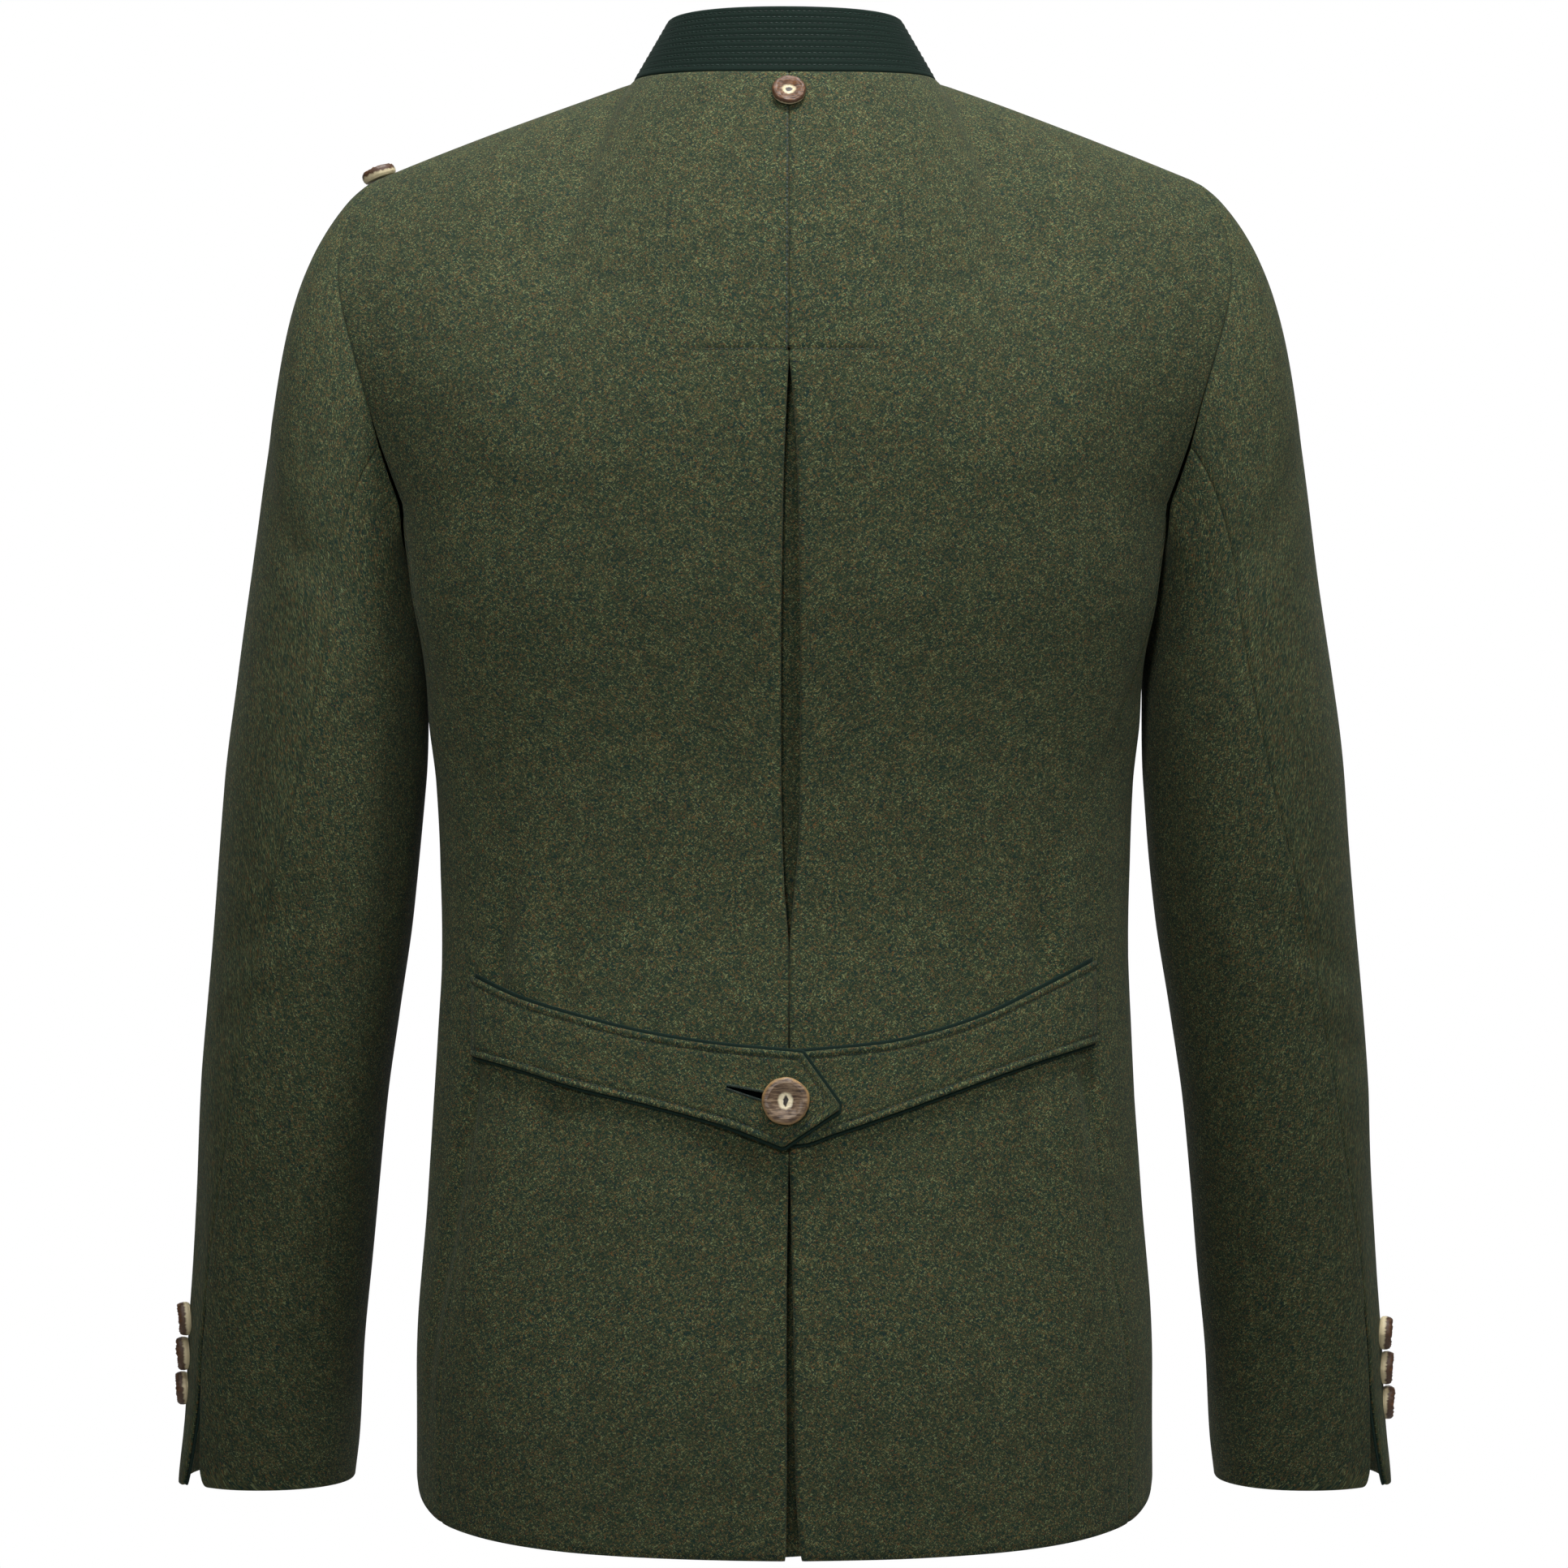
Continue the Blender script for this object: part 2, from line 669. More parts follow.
def loden_material(name):
    finish, tree, shader, place = new_material(name)
    one, height_one = flecks(tree, place, 38, 3.0)
    two, height_two = flecks(tree, place, -47, 11.0)
    which = add(tree, "ShaderNodeTexNoise", {"Vector": place, "Scale": 1 / (1.2 * MM), "Detail": 1.0})
    choice = add(
        tree,
        "ShaderNodeMapRange",
        {"Value": which.outputs["Fac"], "From Min": 0.44, "From Max": 0.56},
    )
    mixed = add(
        tree,
        "ShaderNodeMix",
        {"Factor": choice.outputs[0], "A": one, "B": two},
        data_type="FLOAT",
    )
    wool = add(tree, "ShaderNodeValToRGB", {"Fac": mixed.outputs[0]}, stops=FLECK_STOPS)
    patches = add(
        tree,
        "ShaderNodeTexNoise",
        {"Vector": place, "Scale": 1 / (14 * MM), "Detail": 4.0, "Roughness": 0.6},
    )
    shading = add(
        tree,
        "ShaderNodeMapRange",
        {"Value": patches.outputs["Fac"], "From Min": 0.3, "From Max": 0.7, "To Min": 0.84, "To Max": 1.16},
    )
    shaded = add(
        tree,
        "ShaderNodeVectorMath",
        {0: wool.outputs["Color"], "Scale": shading.outputs[0]},
        operation="SCALE",
    )
    tree.links.new(shaded.outputs[0], shader.inputs["Base Color"])
    height = add(
        tree,
        "ShaderNodeMix",
        {"Factor": choice.outputs[0], "A": height_one, "B": height_two},
        data_type="FLOAT",
    )
    nap = add(
        tree,
        "ShaderNodeBump",
        {"Height": height.outputs[0], "Strength": 0.35, "Distance": 0.4 * MM},
        invert=True,
    )
    tree.links.new(nap.outputs[0], shader.inputs["Normal"])
    shader.inputs["Roughness"].default_value = 0.92
    shader.inputs["Specular IOR Level"].default_value = 0.25
    shader.inputs["Sheen Weight"].default_value = 0.07
    shader.inputs["Sheen Roughness"].default_value = 0.45
    shader.inputs["Sheen Tint"].default_value = colour("#b9c4ae")
    return finish


LODEN_CLOTH = loden_material("milled_loden")
print("flecks in mm:", FLECK_LENGTH, "x", FLECK_WIDTH)

# %% [markdown]
# ## Green felt
#
# The collar and the edging are a much denser cloth, dyed in one colour and pressed, so they are nearly
# even and very dark. What the eye gets is a fine grain and a cool sheen, and the stitching does the rest.

# %% Green felt


def felt_material(name, dark, light):
    finish, tree, shader, place = new_material(name)
    grain = add(
        tree,
        "ShaderNodeTexNoise",
        {"Vector": place, "Scale": 1 / (0.7 * MM), "Detail": 3.0, "Roughness": 0.7},
    )
    dyed = add(
        tree,
        "ShaderNodeValToRGB",
        {"Fac": grain.outputs["Fac"]},
        stops=[(0.3, dark), (0.72, light)],
    )
    tree.links.new(dyed.outputs["Color"], shader.inputs["Base Color"])
    rough = add(
        tree,
        "ShaderNodeBump",
        {"Height": grain.outputs["Fac"], "Strength": 0.4, "Distance": 0.25 * MM},
    )
    tree.links.new(rough.outputs[0], shader.inputs["Normal"])
    shader.inputs["Roughness"].default_value = 0.9
    shader.inputs["Specular IOR Level"].default_value = 0.25
    shader.inputs["Sheen Weight"].default_value = 0.03
    shader.inputs["Sheen Roughness"].default_value = 0.4
    shader.inputs["Sheen Tint"].default_value = colour("#8fb3a6")
    return finish


COLLAR_FELT = felt_material("collar_felt", "#03120d", "#09231a")
EDGE_FELT = felt_material("edging_felt", "#04140f", "#09241b")
print("felts:", COLLAR_FELT.name, EDGE_FELT.name)

# %% [markdown]
# ## The camera, the light and the floor
#
# The jacket is looked at square from behind, level with its middle, through a long lens. Broad soft
# lights stand high to both sides, as in a studio where clothes are shown, so the shoulders catch the
# light and the sleeves fall into shade. The floor lies where a wearer's feet would be.

# %% Camera
CAMERA_DISTANCE = 2200
VIEW_WIDTH = 792.1  # of the plane through the origin that fills the frame
VIEW_HEIGHT = -353.8
VIEW_SIDE = 0.4  # to the wearer's left of the middle

camera_data = bpy.data.cameras.new("camera")
camera_data.sensor_width = 36
camera_data.lens = camera_data.sensor_width * CAMERA_DISTANCE / VIEW_WIDTH
camera = bpy.data.objects.new("camera", camera_data)
camera.location = (VIEW_SIDE * MM, CAMERA_DISTANCE * MM, VIEW_HEIGHT * MM)
camera.rotation_euler = (math.radians(90), 0, math.radians(180))
bpy.context.scene.collection.objects.link(camera)
bpy.context.scene.camera = camera
print("lens in mm:", round(camera_data.lens, 1))

# %% Lights and floor
FLOOR_HEIGHT = -1500
FLOOR_RADIUS = 4000
FLOOR_SIDES = 96
SoftBox = namedtuple("SoftBox", "name place aim size power spread")
SOFT_BOXES = [
    SoftBox("key", Vector((-300, 650, 2400)), Vector((0, 0, -350)), 1000, 90, 180),
    SoftBox("left_top", Vector((850, 450, 1700)), Vector((150, 0, -100)), 600, 12, 180),
    SoftBox("right_side", Vector((-1300, 1100, 900)), Vector((-50, 0, -350)), 450, 10, 180),
    SoftBox("behind", Vector((350, 2400, 500)), Vector((50, 0, -290)), 400, 0.85, 30),
]
for box in SOFT_BOXES:
    light = bpy.data.lights.new(box.name, "AREA")
    light.shape = "DISK"
    light.size = box.size * MM
    light.energy = box.power
    light.spread = math.radians(box.spread)
    lamp = bpy.data.objects.new(box.name, light)
    lamp.location = box.place * MM
    lamp.rotation_euler = (box.aim - box.place).to_track_quat("-Z", "Y").to_euler()
    bpy.context.scene.collection.objects.link(lamp)

# A studio with a bright white wall before the jacket, dark ones beside it and a dim one behind it.
BRIGHT_WALL, DARK_WALL, DIM_WALL = 1.0, 0.05, 0.2
world = bpy.data.worlds.new("studio")
world.use_nodes = True
walls = world.node_tree
direction = add(walls, "ShaderNodeTexCoord").outputs["Generated"]
axes = add(walls, "ShaderNodeSeparateXYZ", {"Vector": direction})
before = add(
    walls,
    "ShaderNodeMapRange",
    {"Value": axes.outputs["Y"], "From Min": -0.95, "From Max": -0.7, "To Min": BRIGHT_WALL, "To Max": 0.0},
    interpolation_type="SMOOTHSTEP",
)
behind = add(
    walls,
    "ShaderNodeMapRange",
    {"Value": axes.outputs["Y"], "From Min": 0.1, "From Max": 1.0, "To Min": DARK_WALL, "To Max": DIM_WALL},
    interpolation_type="SMOOTHSTEP",
)
strength = add(
    walls,
    "ShaderNodeMath",
    {0: before.outputs[0], 1: behind.outputs[0]},
    operation="MAXIMUM",
)
walls.nodes["Background"].inputs["Color"].default_value = colour("#ffffff")
walls.links.new(strength.outputs[0], walls.nodes["Background"].inputs["Strength"])
bpy.context.scene.world = world
bpy.context.scene.view_settings.view_transform = "Standard"

floor_mesh = bpy.data.meshes.new("floor")
turns = [2 * math.pi * i / FLOOR_SIDES for i in range(FLOOR_SIDES)]
corners = [Vector((math.cos(a), math.sin(a), 0)) * FLOOR_RADIUS for a in turns]
rim = [(corner + Vector((0, 0, FLOOR_HEIGHT))) * MM for corner in corners]
floor_mesh.from_pydata(rim, [], [range(FLOOR_SIDES)])
floor = bpy.data.objects.new("floor", floor_mesh)
bpy.context.scene.collection.objects.link(floor)
floor_paint = bpy.data.materials.new("floor_paint")
floor_paint.use_nodes = True
floor_shader = floor_paint.node_tree.nodes["Principled BSDF"]
floor_shader.inputs["Base Color"].default_value = colour("#d2d2d0")
floor_shader.inputs["Roughness"].default_value = 0.9
floor_mesh.materials.append(floor_paint)
print("lights:", [box.name for box in SOFT_BOXES])

# %% [markdown]
# ## The two backs and their inverted pleat
#
# The backs are joined at the centre down to a short stitched bar. Below it each one is folded under and
# runs back behind itself, and a strip sewn between the two returns closes the pleat. The folds are not
# pressed shut: they stand a little open below the bar and again in the vent under the belt. The fold is
# drawn as part of each back's own grid, so the cloth really turns over.

# %% A back's points
LODEN = 1.8
BAR_HEIGHT = -146
BAR_ROWS = (-2.4, -1.2, 0, 0.9, 1.8)  # rows beside the bar's own
FOLD_RADIUS = 1.5
FOLD_SWINGS = (0, 22, 45, 67, 90, 112, 135, 157, 180)  # degrees round the fold
RETURN_RUNS = (3, 7, 12, 18, 24, 30)  # behind the back, from the fold inwards
TOUCHING = -0.05  # seam edges just meet, so that no light comes through
CHEST_TO_HEM = 508
CHEST_TO_TOP = 215
BACK_WIDTH = 178


def back_point(side, share, rise):
    """Below the chest level: share 0 is the side-back seam, 1 the centre; rise 0 is the hem."""
    hem_turn = mix(seam_turn(BODY[0].height), 90, share)
    height = mix(hem_height(hem_turn), CHEST_LEVEL, rise)
    centre_turn = turn_at_x(centre_edge(side, height), height)
    turn = mix(seam_turn(height), centre_turn, share)
    return ring(turn, height)


def upper_back_point(side, share, drop):
    centre_turn = turn_at_x(centre_edge(side, CHEST_LEVEL), CHEST_LEVEL)
    point = upper(share, drop, centre_turn, back=True)
    middle = upper(1, drop, centre_turn, back=True)
    point.x += (centre_edge(side, middle.z) - middle.x) * share**CENTRE_FADE
    return point


def upper_drops():
    """The drops of the rows above the chest level, with the rows beside the bar."""
    bar = [drop_at(BAR_HEIGHT + rise, centre_back) for rise in BAR_ROWS]
    drops = [1 - share for share in spaced(CHEST_TO_TOP, high=TOUCHING)][1:]
    room = 0.7 * STEP / CHEST_TO_TOP
    drops = [drop for drop in drops if not bar[-1] - room < drop < bar[0] + room]
    return sorted(drops + bar, reverse=True), bar[BAR_ROWS.index(0)]


def folded(row):
    """A row whose end turns under, and its return behind the back."""
    backwards = row[::-1]
    start = at_length(backwards, FOLD_RADIUS + LODEN / 2)
    towards = (row[-1] - at_length(backwards, 4)).normalized()
    outward = towards.cross(Vector((0, 0, 1))).normalized()
    if outward.y < 0:
        outward.negate()
    turned = row[: 1 - len(EDGE_STEPS)]
    for swing in FOLD_SWINGS:
        swing = math.radians(swing)
        inward = outward * (1 - math.cos(swing))
        turned.append(start + (towards * math.sin(swing) - inward) * FOLD_RADIUS)
    for run in RETURN_RUNS:
        behind = at_length(backwards, FOLD_RADIUS + LODEN / 2 + run)
        turned.append(behind - outward * 2 * FOLD_RADIUS)
    return turned


LOWER_RISES = spaced(CHEST_TO_HEM, high=0)
UPPER_DROPS, BAR_DROP = upper_drops()
BACK_SHARES = spaced(BACK_WIDTH, low=TOUCHING, high=0)
CENTRE_CLOSED = 0.1  # above the bar the two backs meet
FOLDED_ROWS = len(LOWER_RISES) + UPPER_DROPS.index(BAR_DROP) + 1


LEVELLED = 55  # as far from the centre as the bar's row is level
LEVELLED_FADE = 120  # and as far as it is still partly level
SLIDE_REACH = 40  # above and below the bar


def slid(column):
    """A column of points slid along itself, so that the bar's row is level beside the centre."""
    bar = column[FOLDED_ROWS - 1]
    shift = (BAR_HEIGHT - bar.z) * ease((LEVELLED_FADE - bar.x) / (LEVELLED_FADE - LEVELLED))
    heights = [point.z for point in column]
    moved = []
    for point in column:
        share = ease(1 - abs(point.z - bar.z) / SLIDE_REACH)
        if share and abs(shift) > 0.01:
            height = point.z + shift * share
            point = Vector([float(np.interp(height, heights, [q[i] for q in column])) for i in range(3)])
        moved.append(point)
    return moved


def flat_back_rows(side):
    rows = [[back_point(side, share, rise) for share in BACK_SHARES] for rise in LOWER_RISES]
    rows += [[upper_back_point(side, share, drop) for share in BACK_SHARES] for drop in UPPER_DROPS]
    for row in rows[FOLDED_ROWS:]:
        row[-1] += (row[-1] - row[-2]).normalized() * CENTRE_CLOSED
    columns = [slid(column) for column in zip(*rows)]
    return [list(row) for row in zip(*columns)]


BACK_ROWS = {side: flat_back_rows(side) for side in (1, -1)}
print("a back's grid:", len(BACK_ROWS[1]), "rows of", len(BACK_SHARES), "columns")

# %% [markdown]
# ## Folds
#
# A worn jacket is never smooth. Cloth bunches softly above and below a belt that draws it in, hangs in
# long flutes from there to the hem, and breaks at the elbow. A simulation would make folds of its own,
# in places of its own; here each fold is a line laid on the body's form, with its own depth at each of
# its points, so it starts and ends in nothing. Below zero it is a trough, above zero a ridge.

# %% The folds of the body
# Each fold: the sides that have it (1 the wearer's left, -1 the right), its width, and its points as
# (turn round the body, height, depth).
Fold = namedtuple("Fold", "side width points")
BODY_FOLDS = [
    # above the belt, where it draws the back in
    Fold(1, 6, ((42, -385, 0), (41, -415, -2.0), (40, -440, -4.2), (39.5, -456, -2.6), (39, -467, 0))),
    Fold(1, 8, ((48, -380, 0), (47.5, -420, 1.8), (47, -445, 2.6), (47, -467, 0))),
    Fold(1, 7, ((57, -405, 0), (56.5, -435, -2.0), (56, -458, -3.0), (56, -473, 0))),
    Fold(-1, 6, ((47, -380, 0), (47.5, -410, -1.8), (48, -434, -4.0), (48, -450, -2.4), (48, -463, 0))),
    Fold(-1, 8, ((40, -375, 0), (40.5, -412, 1.6), (41, -436, 2.6), (41, -459, 0))),
    Fold(-1, 8, ((56, -390, 0), (56, -425, 1.4), (56, -447, 2.0), (57, -467, 0))),
    Fold(-1, 12, ((64, -420, 0), (63, -448, -1.2), (63, -466, -1.4), (62, -480, 0))),
    # below the belt, down the skirt of the jacket
    Fold(
        1,
        6,
        (
            (36, -478, 0),
            (34, -492, -3.2),
            (31, -530, -3.4),
            (27, -580, -2.6),
            (21, -640, -1.4),
            (19, -690, 0),
        ),
    ),
    Fold(1, 12, ((43, -490, 0), (42, -530, 2.2), (38, -590, 2.0), (33, -660, 0))),
    Fold(1, 9, ((60, -478, 0), (58, -498, -3.4), (56, -516, -2.0), (55, -540, 0))),
    Fold(1, 16, ((62, -545, 0), (62, -600, -1.5), (63, -660, -1.2), (64, -720, 0))),
    Fold(-1, 6, ((36, -476, 0), (36, -496, -4.0), (35.5, -518, -3.0), (35, -545, -0.8), (35, -570, 0))),
    Fold(-1, 12, ((43, -485, 0), (43, -520, 2.2), (43, -580, 1.6), (44, -650, 0))),
    Fold(-1, 14, ((56, -515, 0), (57, -570, -1.9), (59, -640, -1.5), (60, -715, 0))),
    Fold(-1, 16, ((74, -540, 0), (75, -600, 1.2), (76, -680, 1.2), (77, -724, 0.4))),
    # under the arms and down the sides
    Fold(1, 12, ((14, -260, 0), (20, -300, -1.6), (30, -345, -1.2), (40, -380, 0))),
    Fold(-1, 13, ((12, -265, 0), (19, -305, -1.8), (28, -350, -1.3), (37, -385, 0))),
    Fold(1, 15, ((8, -400, 0), (4, -450, -1.8), (2, -530, -1.6), (0, -620, 0))),
    Fold(-1, 14, ((10, -395, 0), (6, -445, -1.7), (3, -520, -1.9), (1, -610, 0))),
    # the front
    Fold(1, 16, ((-30, -300, 0), (-40, -340, -1.6), (-55, -385, -1.2), (-68, -420, 0))),
    Fold(-1, 15, ((-28, -305, 0), (-39, -350, -1.8), (-52, -395, -1.3), (-63, -430, 0))),
    Fold(1, 18, ((-38, -430, 0), (-40, -500, -1.8), (-43, -590, -1.6), (-45, -700, 0))),
    Fold(-1, 18, ((-35, -425, 0), (-38, -490, -1.6), (-42, -580, -1.8), (-46, -700, 0))),
    Fold(1, 20, ((-62, -470, 0), (-63, -560, 1.5), (-64, -690, 0.8))),
    Fold(-1, 20, ((-60, -460, 0), (-62, -550, 1.3), (-63, -690, 1.0))),
]


def folds_of(side, folds, place):
    """This side's folds as lines in space, in the frame of the wearer's left."""
    return [
        Press(
            [place(across, height) for across, height, _ in fold.points],
            [depth for _, _, depth in fold.points],
            fold.width,
        )
        for fold in folds
        if fold.side == side
    ]


# Over the shoulder blades, as (x, height, depth) on the upper back.
BLADE_FOLDS = [
    Fold(1, 16, ((188, -150, 0), (172, -178, -1.3), (150, -205, -1.5), (120, -235, 0))),
    Fold(1, 16, ((160, -75, 0), (125, -95, -0.9), (80, -110, -0.8), (40, -120, 0))),
    Fold(-1, 17, ((186, -145, 0), (168, -176, -1.6), (144, -204, -1.4), (112, -232, 0))),
    Fold(-1, 16, ((150, -70, 0), (118, -92, -1.0), (75, -112, -0.9), (35, -118, 0))),
]


def blade_folds(side):
    """The folds of the upper back, each point put on the cloth nearest to its x and height."""
    cloth = [point for row in BACK_ROWS[side][::4] for point in row[::4]]

    def nearest(x, z):
        return min(cloth, key=lambda p: (p.x - x) ** 2 + (p.z - z) ** 2)

    return folds_of(side, BLADE_FOLDS, nearest)


print("folds:", len(BODY_FOLDS) + len(BLADE_FOLDS))

# %% The two backs
SIDE_WORDS = {1: "left", -1: "right"}
BAR_ENDS = {1: 43, -1: 45}
BACKS = {}
for side, word in SIDE_WORDS.items():
    rows = BACK_ROWS[side]
    centre = [row[-1] for row in rows[FOLDED_ROWS:]]
    bar = [point for point in rows[FOLDED_ROWS - 1] if point.x < BAR_ENDS[side]]
    presses = [
        seam([row[0] for row in rows[: len(LOWER_RISES)]]),
        seam([row[0] for row in rows[len(LOWER_RISES) :]], depth=0.3, width=1.5),
        seam(rows[-1], width=1.6),
        seam(centre, depth=1.25, width=0.85),
        seam(bar, depth=0.6, width=1.0),
    ]
    grid = [(0, folded(row)) for row in rows[:FOLDED_ROWS]] + [(0, row) for row in rows[FOLDED_ROWS:]]
    presses += folds_of(side, BODY_FOLDS, ring) + blade_folds(side)
    back = shell(f"back_panel_{word}", grid, side, LODEN, LODEN_CLOTH, presses=presses)
    stands_for(back, f"back_{word}")
    BACKS[side] = back

# %% [markdown]
# ## The strip behind the pleat
#
# It is sewn to both returns, lies flat behind them, and ends a little above the hem so that it never
# shows below it.

# %% Pleat underlay
GAP = 0.3  # between one cloth and the next
UNDERLAY_INSET = 5.3
UNDERLAY_SHORTER = 0.4


def underlay_rows():
    rows = []
    for left, right in zip(BACK_ROWS[1][:FOLDED_ROWS], BACK_ROWS[-1][:FOLDED_ROWS]):
        start = FOLD_RADIUS + LODEN / 2
        runs = RETURN_RUNS[::-1] + (0,)
        across = [at_length(left[::-1], start + run) for run in runs]
        other = [at_length(right[::-1], start + run) for run in runs[::-1]]
        across += [Vector((-point.x, point.y, point.z)) for point in other]
        rows.append([point - Vector((0, UNDERLAY_INSET, 0)) for point in across])
    rows[0] = [point + Vector((0, 0, UNDERLAY_SHORTER)) for point in rows[0]]
    return rows[:1] + [row for row in rows[1:] if row[0].z > rows[0][0].z + GAP]


underlay_grid = [(0, row) for row in underlay_rows()]
middle = [row[len(row) // 2] for _, row in underlay_grid]
underlay = shell(
    "pleat_strip",
    underlay_grid,
    1,
    LODEN,
    LODEN_CLOTH,
    presses=[seam(middle, depth=9, width=13)],
)
stands_for(underlay, "pleat_underlay")

# %% [markdown]
# ## The two fronts
#
# Each front reaches right round the side to the back's side seam, so it has two parts: the side part,
# which ends above at the bottom of the armhole, and the chest part, which goes on to the shoulder. The
# left front laps over the right one at the centre, where the buttons close it.

# %% A front's points
LAP_LIFT = 1.4
LAP_FADE = 60
SIDE_PART_WIDTH = 200
CHEST_WIDTH = 178
LAST_PLAIN_RISE = 0.9
UNDERARM_SPREAD_FROM = 0.6
UNDERARM_SPREAD = 0.7


def lap_offset(side, x):
    """How far a front lies outside (left) or inside (right) the form near the centre front."""
    return side * LAP_LIFT * (1 - ease((x - LAP) / LAP_FADE))


def underarm_point(share, rise):
    """From the side-back seam (0) to below the front pitch (1), up to the armhole's lowest part."""
    hem_turn = mix(seam_turn(BODY[0].height), FRONT_PITCH, share)
    height = mix(hem_height(hem_turn), CHEST_LEVEL, rise)
    turn = mix(seam_turn(height), FRONT_PITCH, share)
    top = armhole_under(share)
    if rise > LAST_PLAIN_RISE:
        below = underarm_point(share, LAST_PLAIN_RISE)
        return below.lerp(top, (rise - LAST_PLAIN_RISE) / (1 - LAST_PLAIN_RISE))
    turned = (rise - UNDERARM_SPREAD_FROM) / (LAST_PLAIN_RISE - UNDERARM_SPREAD_FROM)
    spread = ease(turned) * UNDERARM_SPREAD
    top_turn = mix(seam_turn(height), FRONT_PITCH, (1 - math.cos(math.pi * share)) / 2)
    return ring(mix(turn, top_turn, spread), height)


def chest_point(side, share, rise):
    """From below the front pitch (0) to the front edge past the centre (1)."""
    hem_turn = mix(FRONT_PITCH, -90, share)
    height = mix(hem_height(hem_turn), CHEST_LEVEL, rise)
    turn = mix(FRONT_PITCH, turn_at_x(-LAP, height, -1), share)
    point = ring(turn, height)
    point.y -= lap_offset(side, point.x)
    return point


def upper_front_point(side, share, drop):
    centre_turn = turn_at_x(-LAP, CHEST_LEVEL, -1)
    point = upper(share, drop, centre_turn, back=False)
    if share > NECK_SHARE / 2:
        point.y -= lap_offset(side, point.x)
    return point


SIDE_SHARES = spaced(SIDE_PART_WIDTH, low=TOUCHING)[:-1]
CHEST_SHARES = spaced(CHEST_WIDTH, low=0, high=0)


def front_rows(side):
    """The rows of a front: the lower ones with the side part, the upper ones without it."""
    lower = [
        [underarm_point(share, rise) for share in SIDE_SHARES]
        + [chest_point(side, share, rise) for share in CHEST_SHARES]
        for rise in LOWER_RISES
    ]
    higher = [[upper_front_point(side, share, drop) for share in CHEST_SHARES] for drop in UPPER_DROPS]
    return lower, higher


# %% The two fronts themselves
FRONTS = {}
FRONT_EDGES = {}
for side, word in SIDE_WORDS.items():
    lower, higher = front_rows(side)
    under_arm = lower[-1][: len(SIDE_SHARES)]
    presses = [
        seam([row[0] for row in lower]),
        seam(under_arm + [row[0] for row in [lower[-1][len(SIDE_SHARES) :]] + higher], 0.3, 1.5),
        seam(higher[-1], width=1.6),
    ]
    grid = [(0, row) for row in lower] + [(len(SIDE_SHARES), row) for row in higher]
    presses += folds_of(side, BODY_FOLDS, ring)
    last = len(SIDE_SHARES) + len(CHEST_SHARES) - 1
    front = shell(
        f"front_panel_{word}", grid, side, LODEN, LODEN_CLOTH, anchor=last, flip=True, presses=presses
    )
    stands_for(front, f"front_{word}")
    FRONTS[side] = front
    FRONT_EDGES[side] = lower + higher

# %% [markdown]
# ## The two-piece sleeves
#
# A tailored sleeve has a wide top piece and a narrow under piece, joined along the back of the arm and
# along its front, and it bends forward at the elbow. Its head is eased into the armhole, so it starts
# rounder than the hole it is sewn to. The lowest part of the back seam stays open as a slit.

# %% A sleeve's points
# Sleeve: level sections of the middle surface. Angle 0 is its outer side, 90 its back
SleeveSection = namedtuple("SleeveSection", "height x half_width y half_depth hindarm forearm")
SLEEVE = [
    SleeveSection(-714, 267.2, 42.9, -62, 48, 37, 222),
    SleeveSection(-691, 265.0, 43.6, -58, 48.5, 37, 222),
    SleeveSection(-646, 262.7, 44.4, -50.5, 49.5, 38, 222),
    SleeveSection(-600, 258.7, 45.0, -43.5, 51, 42, 222),
    SleeveSection(-560, 255.3, 45.6, -37.5, 53, 50, 223),
    SleeveSection(-513, 251.2, 46.6, -31, 55.5, 58, 224),
    SleeveSection(-469, 245.8, 48.1, -26, 58.5, 62.5, 225),
    SleeveSection(-420, 239.6, 49.4, -20.5, 61.5, 69, 226),
    SleeveSection(-354, 233.3, 49.8, -14, 65, 82, 227),
    SleeveSection(-300, 229.0, 47.0, -11.5, 67, 90, 228),
    SleeveSection(-262, 226.3, 44.2, -10, 67, 94, 228),
]
BICEP_LEVEL = -262
CUFF_LEVEL = -713
SLEEVE_SQUARENESS = 2.1
HINDARM_DROP = 0.85  # where the hindarm seam leaves the armhole's back edge
HINDARM_START = HINDARM_DROP * ARMHOLE_BACK_ANGLE
UNDERARM_COLUMNS = 7
FOREARM_COLUMN = 6  # of the columns under the arm
FOREARM_START = (
    ARMHOLE_BACK_ANGLE
    + (ARMHOLE_FRONT_ANGLE - ARMHOLE_BACK_ANGLE) * FOREARM_COLUMN / UNDERARM_COLUMNS
)
# The sleeve starts this far off the armhole: most under the arm, where it hangs beside the body
HeadGap = namedtuple("HeadGap", "angle gap")
HEAD_GAPS = [
    HeadGap(0, 1.2),
    HeadGap(90, 1.2),
    HeadGap(122, 3.4),
    HeadGap(235, 3.4),
    HeadGap(270, 1.2),
    HeadGap(360, 1.2),
]
# How the sleeve head leaves the armhole, as shares of each line's length
HeadLeave = namedtuple("HeadLeave", "angle x y z")
HEAD_LEAVES = [
    HeadLeave(-180, 0.1, 0.0, -0.9),
    HeadLeave(-130, 0.35, -0.2, -0.65),
    HeadLeave(-70, 0.6, -0.15, -0.5),
    HeadLeave(0, 0.57, 0.0, -0.335),
    HeadLeave(70, 0.6, 0.15, -0.5),
    HeadLeave(130, 0.35, 0.2, -0.65),
    HeadLeave(180, 0.1, 0.0, -0.9),
    HeadLeave(230, 0.35, -0.2, -0.65),
    HeadLeave(250, 0.5, -0.18, -0.55),
]
